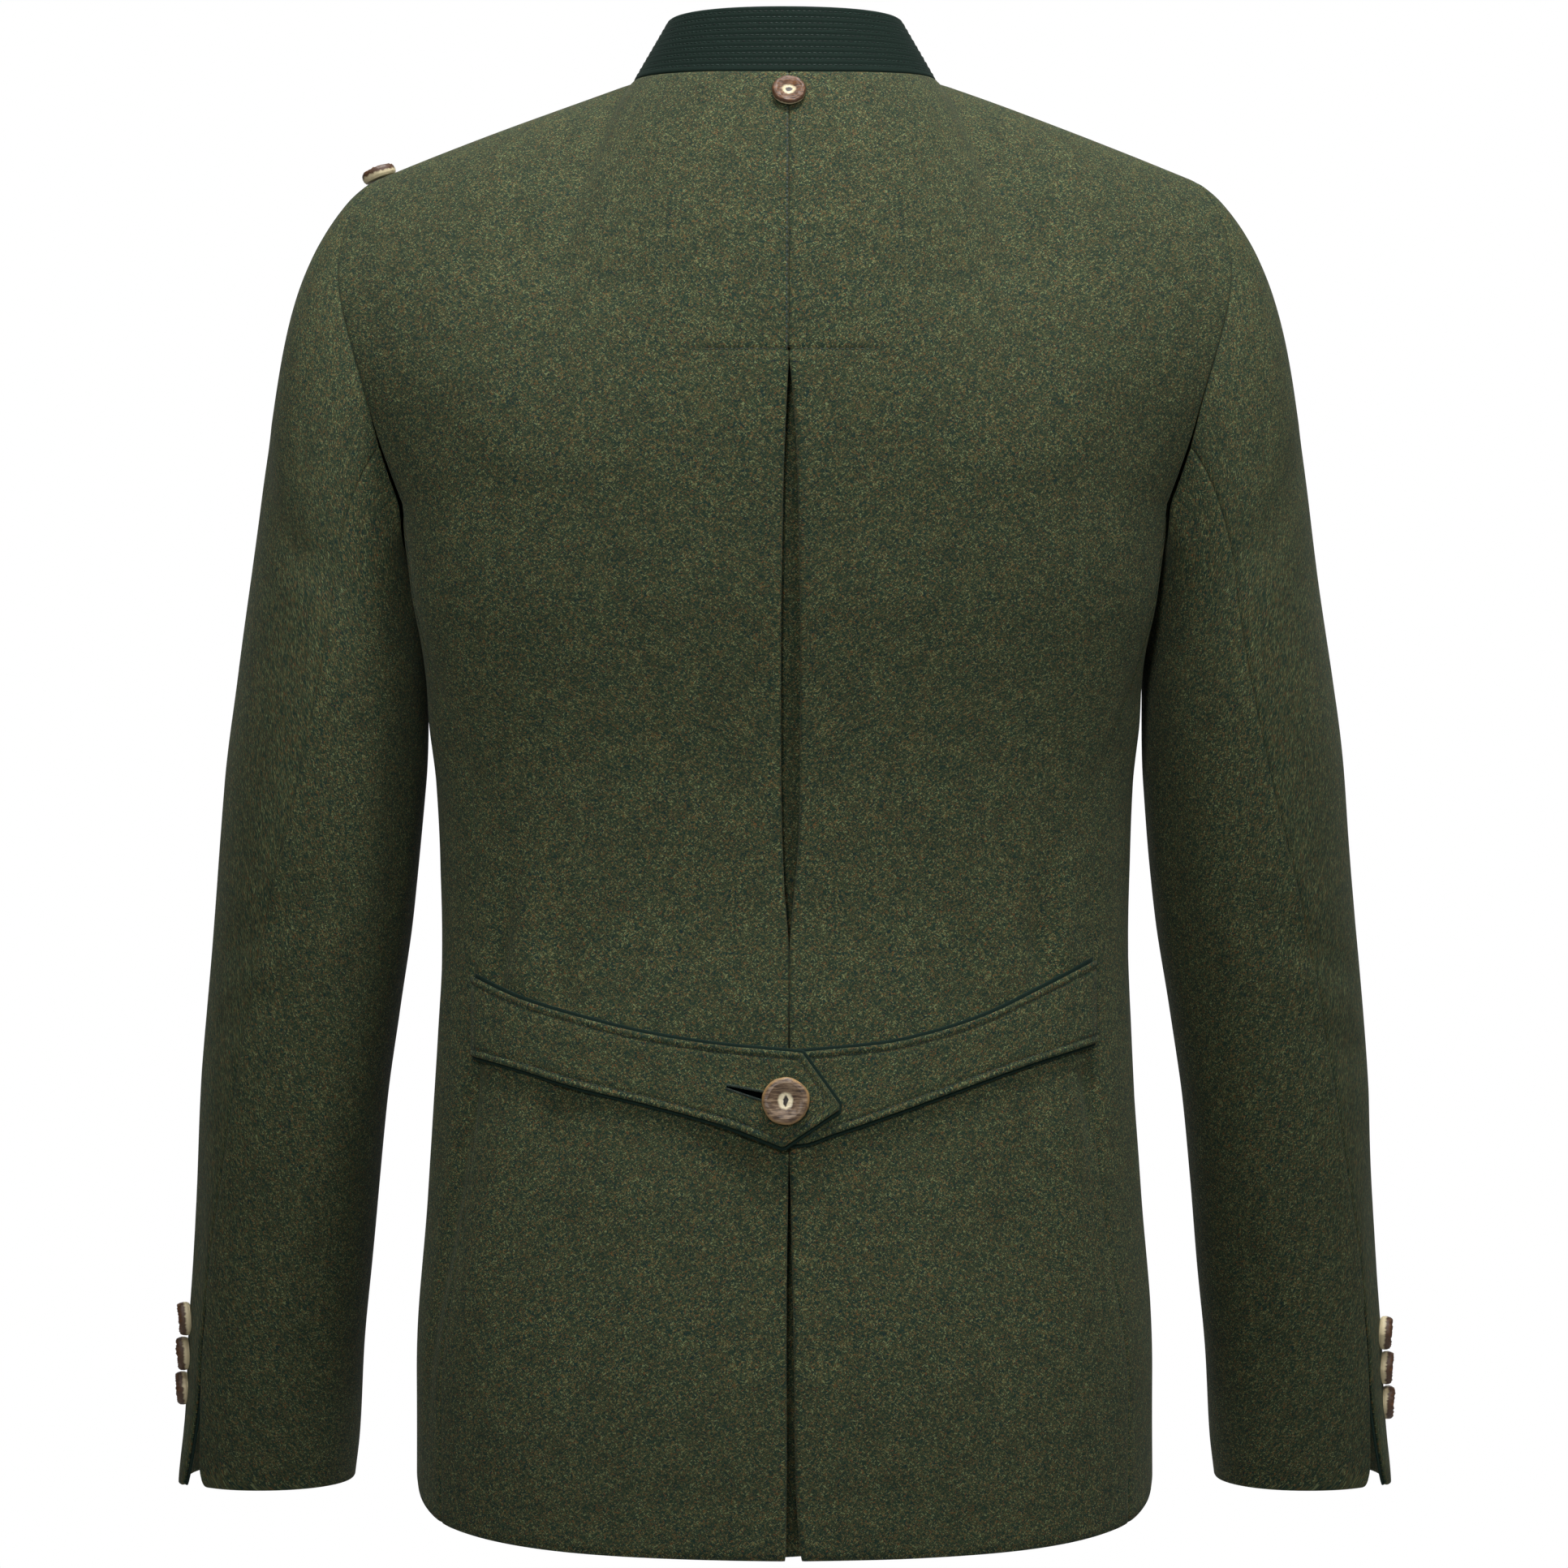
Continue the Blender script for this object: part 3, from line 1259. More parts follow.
# Cuff slit in the hindarm seam
SLIT_TOP_REACH = 1.776
SLIT_OPENS = 0.02  # the reach in which its edges part
SPLAY = 6.0
SPLAY_TOP = -655
SPLAY_REACH = 45  # degrees round the top sleeve
UNDER_EDGE_BACK = 2.6
CORNER_WIDTH = 8
CORNER_HEIGHT = 17
TOP_CORNER_WIDTH = 4.5

head_leave = leaves(HEAD_LEAVES)
head_gap = through(HEAD_GAPS, "gap")
sleeve_x = through(SLEEVE, "x")
sleeve_half_width = through(SLEEVE, "half_width")
sleeve_y = through(SLEEVE, "y")
sleeve_half_depth = through(SLEEVE, "half_depth")
sleeve_hindarm = through(SLEEVE, "hindarm")
sleeve_forearm = through(SLEEVE, "forearm")

SEWN_GAP = 0.2  # between the sleeve's edge and the armhole's


def sleeve_ring(angle, height):
    cosine = math.cos(math.radians(angle))
    sine = math.sin(math.radians(angle))
    x = sleeve_x(height) + sleeve_half_width(height) * power(cosine, 2 / SLEEVE_SQUARENESS)
    y = sleeve_y(height) + sleeve_half_depth(height) * power(sine, 2 / SLEEVE_SQUARENESS)
    return Vector((x, y, height))


def sleeve_height(reach):
    """Reach 0 is the armhole, 1 the bicep level and 2 the cuff."""
    return mix(BICEP_LEVEL, CUFF_LEVEL, max(reach - 1, 0))


def sleeve_point(start_angle, end_angle, reach):
    """A point on the line that starts at one angle of the armhole and is at another at the bicep level."""
    if reach >= 1:
        return sleeve_ring(end_angle, sleeve_height(reach))
    start = armhole(start_angle)
    end = sleeve_ring(end_angle, BICEP_LEVEL)
    length = (end - start).length
    leave = head_leave(start_angle) * length
    arrive = (sleeve_ring(end_angle, BICEP_LEVEL - 10) - end).normalized() * length
    under_arm = head_gap(start_angle % 360) - HEAD_GAPS[0].gap
    beside = Vector((1, start.y / SIDE_ROUNDING, 0)).normalized() * under_arm
    start += leave.normalized() * SEWN_GAP + beside
    return hermite(start, leave, end, arrive, reach)


def splay(point, angle, reach):
    """The slit's corner of the top sleeve stands out from the wrist."""
    height = sleeve_height(reach)
    down = ease((SPLAY_TOP - height) / (SPLAY_TOP - CUFF_LEVEL))
    round_sleeve = ease((angle - sleeve_hindarm(height) + SPLAY_REACH) / SPLAY_REACH)
    outward = Vector((math.cos(math.radians(angle)), math.sin(math.radians(angle)), 0))
    return point + outward * SPLAY * down * round_sleeve


print("cuff in mm:", round(2 * sleeve_half_width(CUFF_LEVEL)), "x", round(2 * sleeve_half_depth(CUFF_LEVEL)))

# %% The sleeve's rows
# Where each column of the plain model starts on the armhole, so the fine columns start on its form.
START_DROPS = [HINDARM_DROP, BAR_DROP, 0.5, 0.34, 0.2, 0.09, 0]
TOP_STARTS = [drop * ARMHOLE_BACK_ANGLE for drop in START_DROPS]
TOP_STARTS += [
    -drop * (360 - ARMHOLE_FRONT_ANGLE) for drop in reversed([1] + START_DROPS[:-1])
]
TOP_STARTS.append(FOREARM_START - 360)
UNDER_STARTS = [HINDARM_START, ARMHOLE_BACK_ANGLE, FOREARM_START]
UNDER_PLACES = [0, 1 / 7, 1]
HEAD_LENGTH = 190
ARM_LENGTH = 451
TOP_WIDTH = 190
UNDER_WIDTH = 120
CORNER_REACH = 22  # how far the under sleeve's cloth gives way beside its edge

REACHES = spaced(HEAD_LENGTH, low=0) + [1 + share for share in spaced(ARM_LENGTH, high=0)[1:]]
TOP_SHARES = spaced(TOP_WIDTH, low=TOUCHING, high=TOUCHING)
UNDER_SHARES = spaced(UNDER_WIDTH, low=TOUCHING, high=TOUCHING)


def held_back(row, distance):
    """A row whose first points stand back from its edge, with the next ones closing up."""
    moved = []
    run = 0
    for i, point in enumerate(row):
        run += (point - row[i - 1]).length if i else 0
        if run < CORNER_REACH:
            point = at_length(row, distance + run * (1 - distance / CORNER_REACH))
        moved.append(point)
    return moved


def corner(height):
    """How far the rounding of a slit's corner has cut the cloth back: 0 above it, 1 at the cuff."""
    above = max(0, 1 - (height - CUFF_LEVEL) / CORNER_HEIGHT)
    return 1 - math.sqrt(1 - above**2)


def top_sleeve_rows():
    places = [i / (len(TOP_STARTS) - 1) for i in range(len(TOP_STARTS))]
    starts = [float(np.interp(share, places, TOP_STARTS)) for share in TOP_SHARES]
    rows = []
    for reach in REACHES:
        height = sleeve_height(reach)
        first, last = sleeve_hindarm(height), sleeve_forearm(height) - 360
        ends = [mix(first, last, share) for share in TOP_SHARES]
        row = [sleeve_point(a, b, reach) for a, b in zip(starts, ends)]
        if reach > 1:
            row = [splay(point, angle, reach) for point, angle in zip(row, ends)]
            row = held_back(row, TOP_CORNER_WIDTH * corner(height))
        rows.append(row)
    return rows


def under_sleeve_rows():
    starts = [float(np.interp(share, UNDER_PLACES, UNDER_STARTS)) for share in UNDER_SHARES]
    rows = []
    for reach in REACHES:
        height = sleeve_height(reach)
        first, last = sleeve_hindarm(height), sleeve_forearm(height)
        ends = [mix(first, last, share) for share in UNDER_SHARES]
        row = [sleeve_point(a, b, reach) for a, b in zip(starts, ends)]
        if reach > SLIT_TOP_REACH:
            back = UNDER_EDGE_BACK * ease((reach - SLIT_TOP_REACH) / SLIT_OPENS)
            row = held_back(row, back + CORNER_WIDTH * corner(height))
        rows.append(row)
    return rows


TOP_SLEEVE = top_sleeve_rows()
UNDER_SLEEVE = under_sleeve_rows()
print("a top sleeve's grid:", len(TOP_SLEEVE), "rows of", len(TOP_SLEEVE[0]), "columns")

# %% The folds of the sleeves
# Points as (angle round the sleeve, height, depth): angle 0 is its outer side, 90 its back.
SLEEVE_FOLDS = [
    Fold(1, 10, ((20, -175, 0), (45, -205, -1.6), (75, -240, -2.2), (105, -268, 0))),
    Fold(1, 12, ((60, -215, 0), (85, -262, 1.4), (100, -300, 1.2), (110, -340, 0))),
    Fold(1, 11, ((100, -395, 0), (80, -420, -2.0), (50, -436, -1.8), (20, -445, 0))),
    Fold(1, 10, ((95, -440, 0), (75, -462, -1.6), (45, -474, -1.4), (25, -480, 0))),
    Fold(1, 12, ((230, -380, 0), (255, -400, -2.2), (290, -418, -1.8), (330, -430, 0))),
    Fold(1, 11, ((228, -430, 0), (250, -442, -2.0), (280, -450, -1.4), (310, -455, 0))),
    Fold(1, 14, ((15, -500, 0), (22, -560, -1.4), (30, -620, -1.2), (30, -670, 0))),
    Fold(1, 13, ((150, -300, 0), (145, -360, -1.8), (140, -430, -1.6), (130, -500, 0))),
    Fold(1, 12, ((130, -540, 0), (122, -590, -1.3), (115, -640, -1.2), (110, -690, 0))),
    Fold(-1, 11, ((22, -170, 0), (46, -200, -1.9), (74, -232, -2.0), (104, -262, 0))),
    Fold(-1, 13, ((58, -220, 0), (82, -268, 1.5), (98, -310, 1.1), (108, -350, 0))),
    Fold(-1, 10, ((98, -405, 0), (78, -430, -2.2), (52, -444, -1.7), (22, -452, 0))),
    Fold(-1, 11, ((92, -455, 0), (72, -476, -1.4), (46, -488, -1.5), (24, -494, 0))),
    Fold(-1, 12, ((230, -385, 0), (256, -406, -2.0), (288, -424, -1.9), (328, -436, 0))),
    Fold(-1, 11, ((228, -436, 0), (252, -450, -1.8), (282, -458, -1.5), (312, -462, 0))),
    Fold(-1, 15, ((12, -510, 0), (20, -565, -1.6), (26, -625, -1.1), (28, -675, 0))),
    Fold(-1, 13, ((152, -310, 0), (146, -370, -1.9), (139, -440, -1.5), (128, -505, 0))),
    Fold(-1, 12, ((128, -545, 0), (120, -595, -1.4), (114, -645, -1.1), (108, -692, 0))),
]


def sleeve_fold_point(angle, height):
    """A point of the sleeve's form. Above the bicep level it lies on the way to the armhole."""
    if height <= BICEP_LEVEL:
        return sleeve_ring(angle, height)
    cloth = [point for row in TOP_SLEEVE[:60:3] for point in row[::3]]
    level = sleeve_ring(angle, BICEP_LEVEL)
    return min(cloth, key=lambda p: (p.y - level.y) ** 2 + 4 * (p.z - height) ** 2)


# %% The four sleeve pieces
for side, word in SIDE_WORDS.items():
    folds = folds_of(side, SLEEVE_FOLDS, sleeve_fold_point)
    head = seam(TOP_SLEEVE[0], depth=0.2, width=1.5)
    hindarm = seam([row[0] for row in TOP_SLEEVE])
    forearm = seam([row[-1] for row in TOP_SLEEVE])
    top_sleeve = shell(
        f"sleeve_top_{word}",
        [(0, row) for row in TOP_SLEEVE],
        side,
        LODEN,
        LODEN_CLOTH,
        presses=[head, hindarm, forearm] + folds,
    )
    stands_for(top_sleeve, f"top_sleeve_{word}")
    under_sleeve = shell(
        f"sleeve_under_{word}",
        [(0, row) for row in UNDER_SLEEVE],
        side,
        LODEN,
        LODEN_CLOTH,
        flip=True,
        presses=[seam(UNDER_SLEEVE[0], depth=0.2, width=1.5), hindarm, forearm] + folds,
    )
    stands_for(under_sleeve, f"under_sleeve_{word}")

# %% [markdown]
# ## The facings of the cuff slits
#
# A strip of the green felt lies inside the top sleeve's side of the slit and shows as a thin edge.

# %% Cuff facings
FACING = 1.0
FACING_SHOWS = 1.8
FACING_WIDTH_SHARE = 0.14


def facing_rows():
    inset = LODEN / 2 + GAP + FACING / 2
    columns = [i for i, share in enumerate(TOP_SHARES) if share < FACING_WIDTH_SHARE]
    rows = []
    for reach, row in zip(REACHES, TOP_SLEEVE):
        if reach <= SLIT_TOP_REACH:
            continue
        out = (row[0] - row[6]).normalized()
        points = [row[0] + out * FACING_SHOWS * part for part in (1, 0.8, 0.5, 0.2)]
        points += [row[i] for i in columns]
        moved = []
        for i, point in enumerate(points):
            towards = points[min(i + 2, len(points) - 1)] - points[max(i - 2, 0)]
            inward = Vector((towards.y, -towards.x, 0)).normalized()
            moved.append(point + inward * inset)
        rows.append(moved)
    return [(0, row) for row in rows]


for side, word in SIDE_WORDS.items():
    cuff_facing = shell(f"slit_facing_{word}", facing_rows(), side, FACING, EDGE_FELT)
    stands_for(cuff_facing, f"cuff_facing_{word}")

# %% [markdown]
# ## The stand collar
#
# The collar is a band of dense felt over canvas, quilted with rows of machine stitching that make it
# stand. Each row sinks into the cloth as a shallow channel, so the band is drawn finely enough upwards
# for every channel to be a real groove.

# %% Collar
COLLAR_BASE_RISE = 1.9
COLLAR_BASE_INSET = 1.6
COLLAR_TOP_SIDE = 30.5
COLLAR_TOP_BACK = 28.5
COLLAR_TOP_FRONT = -22
COLLAR_TOP_HALF_WIDTH = 58
COLLAR_TOP_BACK_Y = 58
COLLAR_TOP_FRONT_Y = 62
COLLAR_END_TURN = -82

COLLAR_CLOTH = 2.4
COLLAR_HEIGHT = 34
COLLAR_CORNER = 5
CHANNEL_PITCH = 3.3
CHANNEL_START = 0.55  # of the pitch, from the seam to the lowest channel
CHANNELS = 10
CHANNEL_DEPTH = 0.42
CHANNEL_WIDTH = 0.85


def collar_point(turn, rise):
    """The stand: turn as for the neck, rise 0 at its seam and 1 at its top edge."""
    base = neck(turn)
    base.x *= 1 - COLLAR_BASE_INSET / NECK_HALF_WIDTH
    base.y *= 1 - COLLAR_BASE_INSET / NECK_BACK
    base.z += COLLAR_BASE_RISE
    cosine = math.cos(math.radians(turn))
    sine = math.sin(math.radians(turn))
    depth = COLLAR_TOP_BACK_Y if turn > 0 else COLLAR_TOP_FRONT_Y
    middle = COLLAR_TOP_BACK if turn > 0 else COLLAR_TOP_FRONT
    height = mix(COLLAR_TOP_SIDE, middle, abs(sine) ** NECK_DROP_POWER)
    top = Vector((COLLAR_TOP_HALF_WIDTH * cosine, depth * sine, height))
    return base.lerp(top, rise)


COLLAR_ROOT = 0.07  # the share of its height by which it starts below its seam
COLLAR_ROWS = 44
COLLAR_LENGTH = 440
COLLAR_SPAN = 180 - 2 * COLLAR_END_TURN
COLLAR_RISES = [mix(-COLLAR_ROOT, 1, i / COLLAR_ROWS) for i in range(COLLAR_ROWS + 1)]
COLLAR_SHARES = spaced(COLLAR_LENGTH, low=0, high=0)
COLLAR_TURNS = [COLLAR_END_TURN + COLLAR_SPAN * share for share in COLLAR_SHARES]


def collar_row(rise):
    row = []
    for turn in COLLAR_TURNS:
        point = collar_point(turn if turn <= 90 else 180 - turn, rise)
        row.append(point if turn <= 90 else Vector((-point.x, point.y, point.z)))
    return row


def rounded_ends(row, rise):
    """The band's upper corners are rounded off at the front."""
    above = max(0, 1 - (1 - rise) * COLLAR_HEIGHT / COLLAR_CORNER)
    back = COLLAR_CORNER * (1 - math.sqrt(1 - above**2))
    return held_back(held_back(row, back)[::-1], back)[::-1]


collar_rows = [rounded_ends(collar_row(rise), rise) for rise in COLLAR_RISES]
channels = [
    collar_row((i + CHANNEL_START) * CHANNEL_PITCH / COLLAR_HEIGHT) for i in range(CHANNELS)
]
collar = shell(
    "stand_collar",
    [(0, row) for row in collar_rows],
    1,
    COLLAR_CLOTH,
    COLLAR_FELT,
    presses=[seam(row, CHANNEL_DEPTH, CHANNEL_WIDTH, every=2) for row in channels],
)
stands_for(collar, "collar")

# %% [markdown]
# ## The back belt
#
# Two straps come from the side seams and button together in the middle, the left one over the right. Each
# is cut in the jacket's cloth over a slightly larger felt, which shows as a dark edge, and is stitched
# all round a few millimetres inside that edge. The stitching sinks in and leaves a soft ridge outside it.

# %% The straps' outlines
# Back belt: each strap's edges from its side seam to the middle
StrapPoint = namedtuple("StrapPoint", "x top bottom")
STRAP_LEFT = [
    StrapPoint(151.0, -448.5, -487.0),
    StrapPoint(128.0, -458.4, -492.4),
    StrapPoint(102.0, -466.0, -499.8),
    StrapPoint(65.0, -474.6, -508.2),
    StrapPoint(29.0, -480.0, -517.8),
    StrapPoint(0.8, -482.6, -528.4),
]
TAB_CORNER = StrapPoint(-8.2, -483.4, -522.3)
TAB_TIP = StrapPoint(-25.8, -508.1, -510.5)
STRAP_RIGHT = [
    StrapPoint(150.5, -440.5, -480.5),
    StrapPoint(121.0, -454.8, -488.7),
    StrapPoint(96.0, -466.2, -496.9),
    StrapPoint(72.0, -473.9, -505.3),
    StrapPoint(48.0, -479.1, -513.6),
    StrapPoint(24.0, -481.5, -521.6),
    StrapPoint(6.0, -483.0, -526.8),
    StrapPoint(-4.0, -483.6, -526.2),
    StrapPoint(-18.0, -484.0, -519.0),
]
STRAP_CLOTH = 1.6
FELT = 1.2
FELT_SHOWS = 1.7
BELT_CLEARANCE = 0.45
LAP_START = 52
LAP_END = 23


def belt_lift(side, x):
    """How far a layer of the left strap rises to pass over the right one."""
    if side < 0:
        return 0
    over = FELT + STRAP_CLOTH + 2 * GAP
    return over * ease((LAP_START - x) / (LAP_START - LAP_END))


FINE_FROM = 32  # from here to the point the left strap is drawn finely, for the hole and the tab
FINE_STEP = 1.1
STRAP_WIDTH = 42
STRAP_MIDDLE_ROWS = 12
EDGE_SHARES = [mm / STRAP_WIDTH for mm in (0, 0.35, 0.9, 1.5, 2.1, 2.7, 3.3, 3.9, 4.6, 5.4)]


def strap_places(side):
    start, end = (STRAP_LEFT[0].x, TAB_TIP.x) if side > 0 else (STRAP_RIGHT[0].x, STRAP_RIGHT[-1].x)
    coarse_end = FINE_FROM if side > 0 else end
    count = round((start - coarse_end) / STEP)
    places = [mix(start, coarse_end, i / count) for i in range(count)]
    if side < 0:
        return places + [end]
    fine = round((coarse_end - end) / FINE_STEP)
    return places + [mix(coarse_end, end, i / fine) for i in range(fine + 1)]


def strap_edges(side):
    """The strap's top and bottom edges, as (x, height), from its seam to its point."""
    rows = STRAP_LEFT if side > 0 else STRAP_RIGHT
    top, bottom = through(rows, "top"), through(rows, "bottom")
    tab = rows[-1:] + [TAB_CORNER, TAB_TIP] if side > 0 else rows[-1:]
    backwards = tab[::-1]

    def height(x, name, plain):
        if x > rows[-1].x or side < 0:
            return plain(x)
        return float(np.interp(x, [p.x for p in backwards], [getattr(p, name) for p in backwards]))

    places = strap_places(side)
    tops = [(x, height(x, "top", top)) for x in places]
    bottoms = [(x, height(x, "bottom", bottom)) for x in places]
    return tops, bottoms


def grown(edge, by, upwards):
    """An edge moved outwards, across its own direction."""
    moved = []
    for i, (x, z) in enumerate(edge):
        ahead, behind = edge[min(i + 1, len(edge) - 1)], edge[max(i - 1, 0)]
        run = Vector((ahead[0] - behind[0], ahead[1] - behind[1])).normalized()
        across = Vector((run.y, -run.x)) if upwards else Vector((-run.y, run.x))
        moved.append((x + across.x * by, z + across.y * by))
    return moved


def on_back(side, x, height, out):
    turn = turn_at_x(x, height)
    return ring(turn, height) + ring_normal(turn, height) * (out + belt_lift(side, x))


def strap_rows(side, level, by):
    tops, bottoms = strap_edges(side)
    tops, bottoms = grown(tops, by, True), grown(bottoms, by, False)
    inner = EDGE_SHARES[-1]
    middle = [mix(inner, 1 - inner, i / STRAP_MIDDLE_ROWS) for i in range(1, STRAP_MIDDLE_ROWS)]
    shares = EDGE_SHARES + middle + [1 - share for share in reversed(EDGE_SHARES)]
    rows = []
    for share in shares:
        row = []
        for top, bottom in zip(tops, bottoms):
            x, z = mix(bottom[0], top[0], share), mix(bottom[1], top[1], share)
            row.append(on_back(side, x, z, level))
        rows.append(row)
    return rows


# %% The straps and their felt
BACKING_LEVEL = LODEN / 2 + BELT_CLEARANCE + FELT / 2
STRAP_LEVEL = BACKING_LEVEL + FELT / 2 + GAP + STRAP_CLOTH / 2
STITCH_INSET = 3.3
GROOVE_DEPTH = 0.6
GROOVE_WIDTH = 0.9
RIDGE_INSET = 1.5
RIDGE_HEIGHT = -0.35  # a valley's depth, so below zero it stands up


def strap_rim(side, inset, level):
    """The line that runs inside the strap's edges, along its bottom, round its point and back."""
    tops, bottoms = strap_edges(side)
    tops, bottoms = grown(tops, -inset, True), grown(bottoms, -inset, False)
    if side > 0:
        meeting = TAB_TIP.x + 2.2 * inset
        tops = [p for p in tops if p[0] > meeting]
        bottoms = [p for p in bottoms if p[0] > meeting]
    return [on_back(side, x, z, level) for x, z in bottoms + tops[::-1]]


for side, word in SIDE_WORDS.items():
    strap = shell(
        f"strap_{word}",
        [(0, row) for row in strap_rows(side, STRAP_LEVEL, 0)],
        side,
        STRAP_CLOTH,
        LODEN_CLOTH,
        presses=[
            seam(strap_rim(side, STITCH_INSET, STRAP_LEVEL), GROOVE_DEPTH, GROOVE_WIDTH, 1),
            seam(strap_rim(side, RIDGE_INSET, STRAP_LEVEL), RIDGE_HEIGHT, 1.0, 1),
        ],
    )
    stands_for(strap, f"belt_{word}")
    backing = shell(
        f"strap_felt_{word}",
        [(0, row) for row in strap_rows(side, BACKING_LEVEL, FELT_SHOWS)],
        side,
        FELT,
        EDGE_FELT,
    )
    stands_for(backing, f"belt_{word}_backing")

# %% [markdown]
# ## Stitching
#
# A machine stitch is a short length of thread that dips into the cloth at both ends. Thousands of them
# follow the channels, the belt's edges and the bar, so they are made by one Geometry Nodes tree: it walks
# along each line, puts one small thread at every step, turns it along the line and lays it flat on the
# cloth. The lines carry the cloth's outward direction, which the tree reads to know which way is up.

# %% The stitching tree


def stitch_tree():
    tree = bpy.data.node_groups.new("stitches", "GeometryNodeTree")
    tree.interface.new_socket("Line", in_out="INPUT", socket_type="NodeSocketGeometry")
    for name in ("Stitch spacing", "Stitch length", "Stitch width", "Stitch height"):
        tree.interface.new_socket(name, in_out="INPUT", socket_type="NodeSocketFloat")
    tree.interface.new_socket("Thread", in_out="INPUT", socket_type="NodeSocketMaterial")
    tree.interface.new_socket("Stitches", in_out="OUTPUT", socket_type="NodeSocketGeometry")
    given = add(tree, "NodeGroupInput")
    curve = add(tree, "GeometryNodeMeshToCurve", {"Mesh": given.outputs["Line"]})
    steps = add(
        tree,
        "GeometryNodeResampleCurve",
        {"Curve": curve.outputs[0], "Length": given.outputs["Stitch spacing"]},
        mode="LENGTH",
    )
    thread = add(tree, "GeometryNodeMeshUVSphere", {"Segments": 6, "Rings": 4, "Radius": 0.5})
    size = add(
        tree,
        "ShaderNodeCombineXYZ",
        {
            "X": given.outputs["Stitch length"],
            "Y": given.outputs["Stitch width"],
            "Z": given.outputs["Stitch height"],
        },
    )
    tangent = add(tree, "GeometryNodeInputTangent")
    outward = add(
        tree, "GeometryNodeInputNamedAttribute", {"Name": "outward"}, data_type="FLOAT_VECTOR"
    )
    turned = add(
        tree,
        "FunctionNodeAxesToRotation",
        {"Primary Axis": tangent.outputs[0], "Secondary Axis": outward.outputs["Attribute"]},
        primary_axis="X",
        secondary_axis="Z",
    )
    laid = add(
        tree,
        "GeometryNodeInstanceOnPoints",
        {
            "Points": steps.outputs[0],
            "Instance": thread.outputs["Mesh"],
            "Rotation": turned.outputs[0],
            "Scale": size.outputs[0],
        },
    )
    real = add(tree, "GeometryNodeRealizeInstances", {"Geometry": laid.outputs[0]})
    finished = add(
        tree,
        "GeometryNodeSetMaterial",
        {"Geometry": real.outputs[0], "Material": given.outputs["Thread"]},
    )
    result = add(tree, "NodeGroupOutput")
    tree.links.new(finished.outputs[0], result.inputs[0])
    return tree


STITCHES = stitch_tree()
print("stitching tree:", len(STITCHES.nodes), "nodes")

# %% Thread


def thread_material(name, shade):
    finish = bpy.data.materials.new(name)
    finish.use_nodes = True
    tree = finish.node_tree
    shader = tree.nodes["Principled BSDF"]
    place = add(tree, "ShaderNodeTexCoord").outputs["Object"]
    twist = add(tree, "ShaderNodeTexNoise", {"Vector": place, "Scale": 1 / (1.5 * MM), "Detail": 1.0})
    dyed = add(tree, "ShaderNodeValToRGB", {"Fac": twist.outputs["Fac"]}, stops=shade)
    tree.links.new(dyed.outputs["Color"], shader.inputs["Base Color"])
    # Spun polyester: a little glossier than the wool, so the stitches catch the light.
    shader.inputs["Roughness"].default_value = 0.55
    return finish


DARK_THREAD = thread_material("dark_green_thread", [(0.3, "#0d1b18"), (0.7, "#1b302a")])
COLLAR_THREAD = thread_material("collar_thread", [(0.3, "#020706"), (0.7, "#16342b")])
print("threads:", DARK_THREAD.name, COLLAR_THREAD.name)

# %% From a line to its stitches
Stitch = namedtuple("Stitch", "spacing length width height")
STITCH_LIFT = 0.12
REACH = 8  # how far in or out the face is looked for
trees_of_faces = {}


def face_tree(obj):
    if obj.name not in trees_of_faces:
        graph = bpy.context.evaluated_depsgraph_get()
        trees_of_faces[obj.name] = BVHTree.FromObject(obj, graph)
    return trees_of_faces[obj.name]


def on_face(obj, points, outward, side=1, lift=STITCH_LIFT):
    """Points brought onto the outer face of a piece, each with the direction out of the cloth."""
    flip = Vector((side, 1, 1))
    line = []
    for point, direction in zip(points, outward):
        away = (direction * flip).normalized()
        hit = face_tree(obj).ray_cast((point * flip + away * REACH) * MM, -away, 2 * REACH * MM)
        if hit[0] is not None:
            line.append((hit[0] / MM + away * lift, away))
    return line


def stitched(name, lines, stitch, thread):
    """A piece of stitching along lines of (point, outward direction), in millimetres."""
    mesh = bpy.data.meshes.new(name + "_lines")
    points, outward, edges = [], [], []
    for line in lines:
        start = len(points)
        points += [point * MM for point, _ in line]
        outward += [value for _, direction in line for value in direction]
        edges += [(i, i + 1) for i in range(start, len(points) - 1)]
    mesh.from_pydata(points, edges, [])
    layer = mesh.attributes.new("outward", "FLOAT_VECTOR", "POINT")
    layer.data.foreach_set("vector", outward)
    guide = bpy.data.objects.new(name + "_lines", mesh)
    bpy.context.scene.collection.objects.link(guide)
    modifier = guide.modifiers.new("stitches", "NODES")
    modifier.node_group = STITCHES
    sizes = {f"Stitch {part}": getattr(stitch, part) * MM for part in Stitch._fields}
    for item in STITCHES.interface.items_tree:
        if item.name in sizes:
            modifier[item.identifier] = sizes[item.name]
        elif item.name == "Thread":
            modifier[item.identifier] = thread
    graph = bpy.context.evaluated_depsgraph_get()
    made = bpy.data.meshes.new_from_object(guide.evaluated_get(graph))
    guide.modifiers.remove(modifier)
    bpy.data.objects.remove(guide)
    made.name = name
    made.shade_smooth()
    obj = bpy.data.objects.new(name, made)
    bpy.context.scene.collection.objects.link(obj)
    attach(obj, "root")
    print(f"{name}: {len(made.polygons)} faces, {len(points)} points along its lines")
    return obj


# %% Collar stitching


def away_from_middle(points):
    """Across a level line of points, away from the jacket's middle."""
    outward = []
    for i, point in enumerate(points):
        run = points[min(i + 1, len(points) - 1)] - points[max(i - 1, 0)]
        across = Vector((run.y, -run.x, 0)).normalized()
        outward.append(across if across.dot(point) > 0 else -across)
    return outward


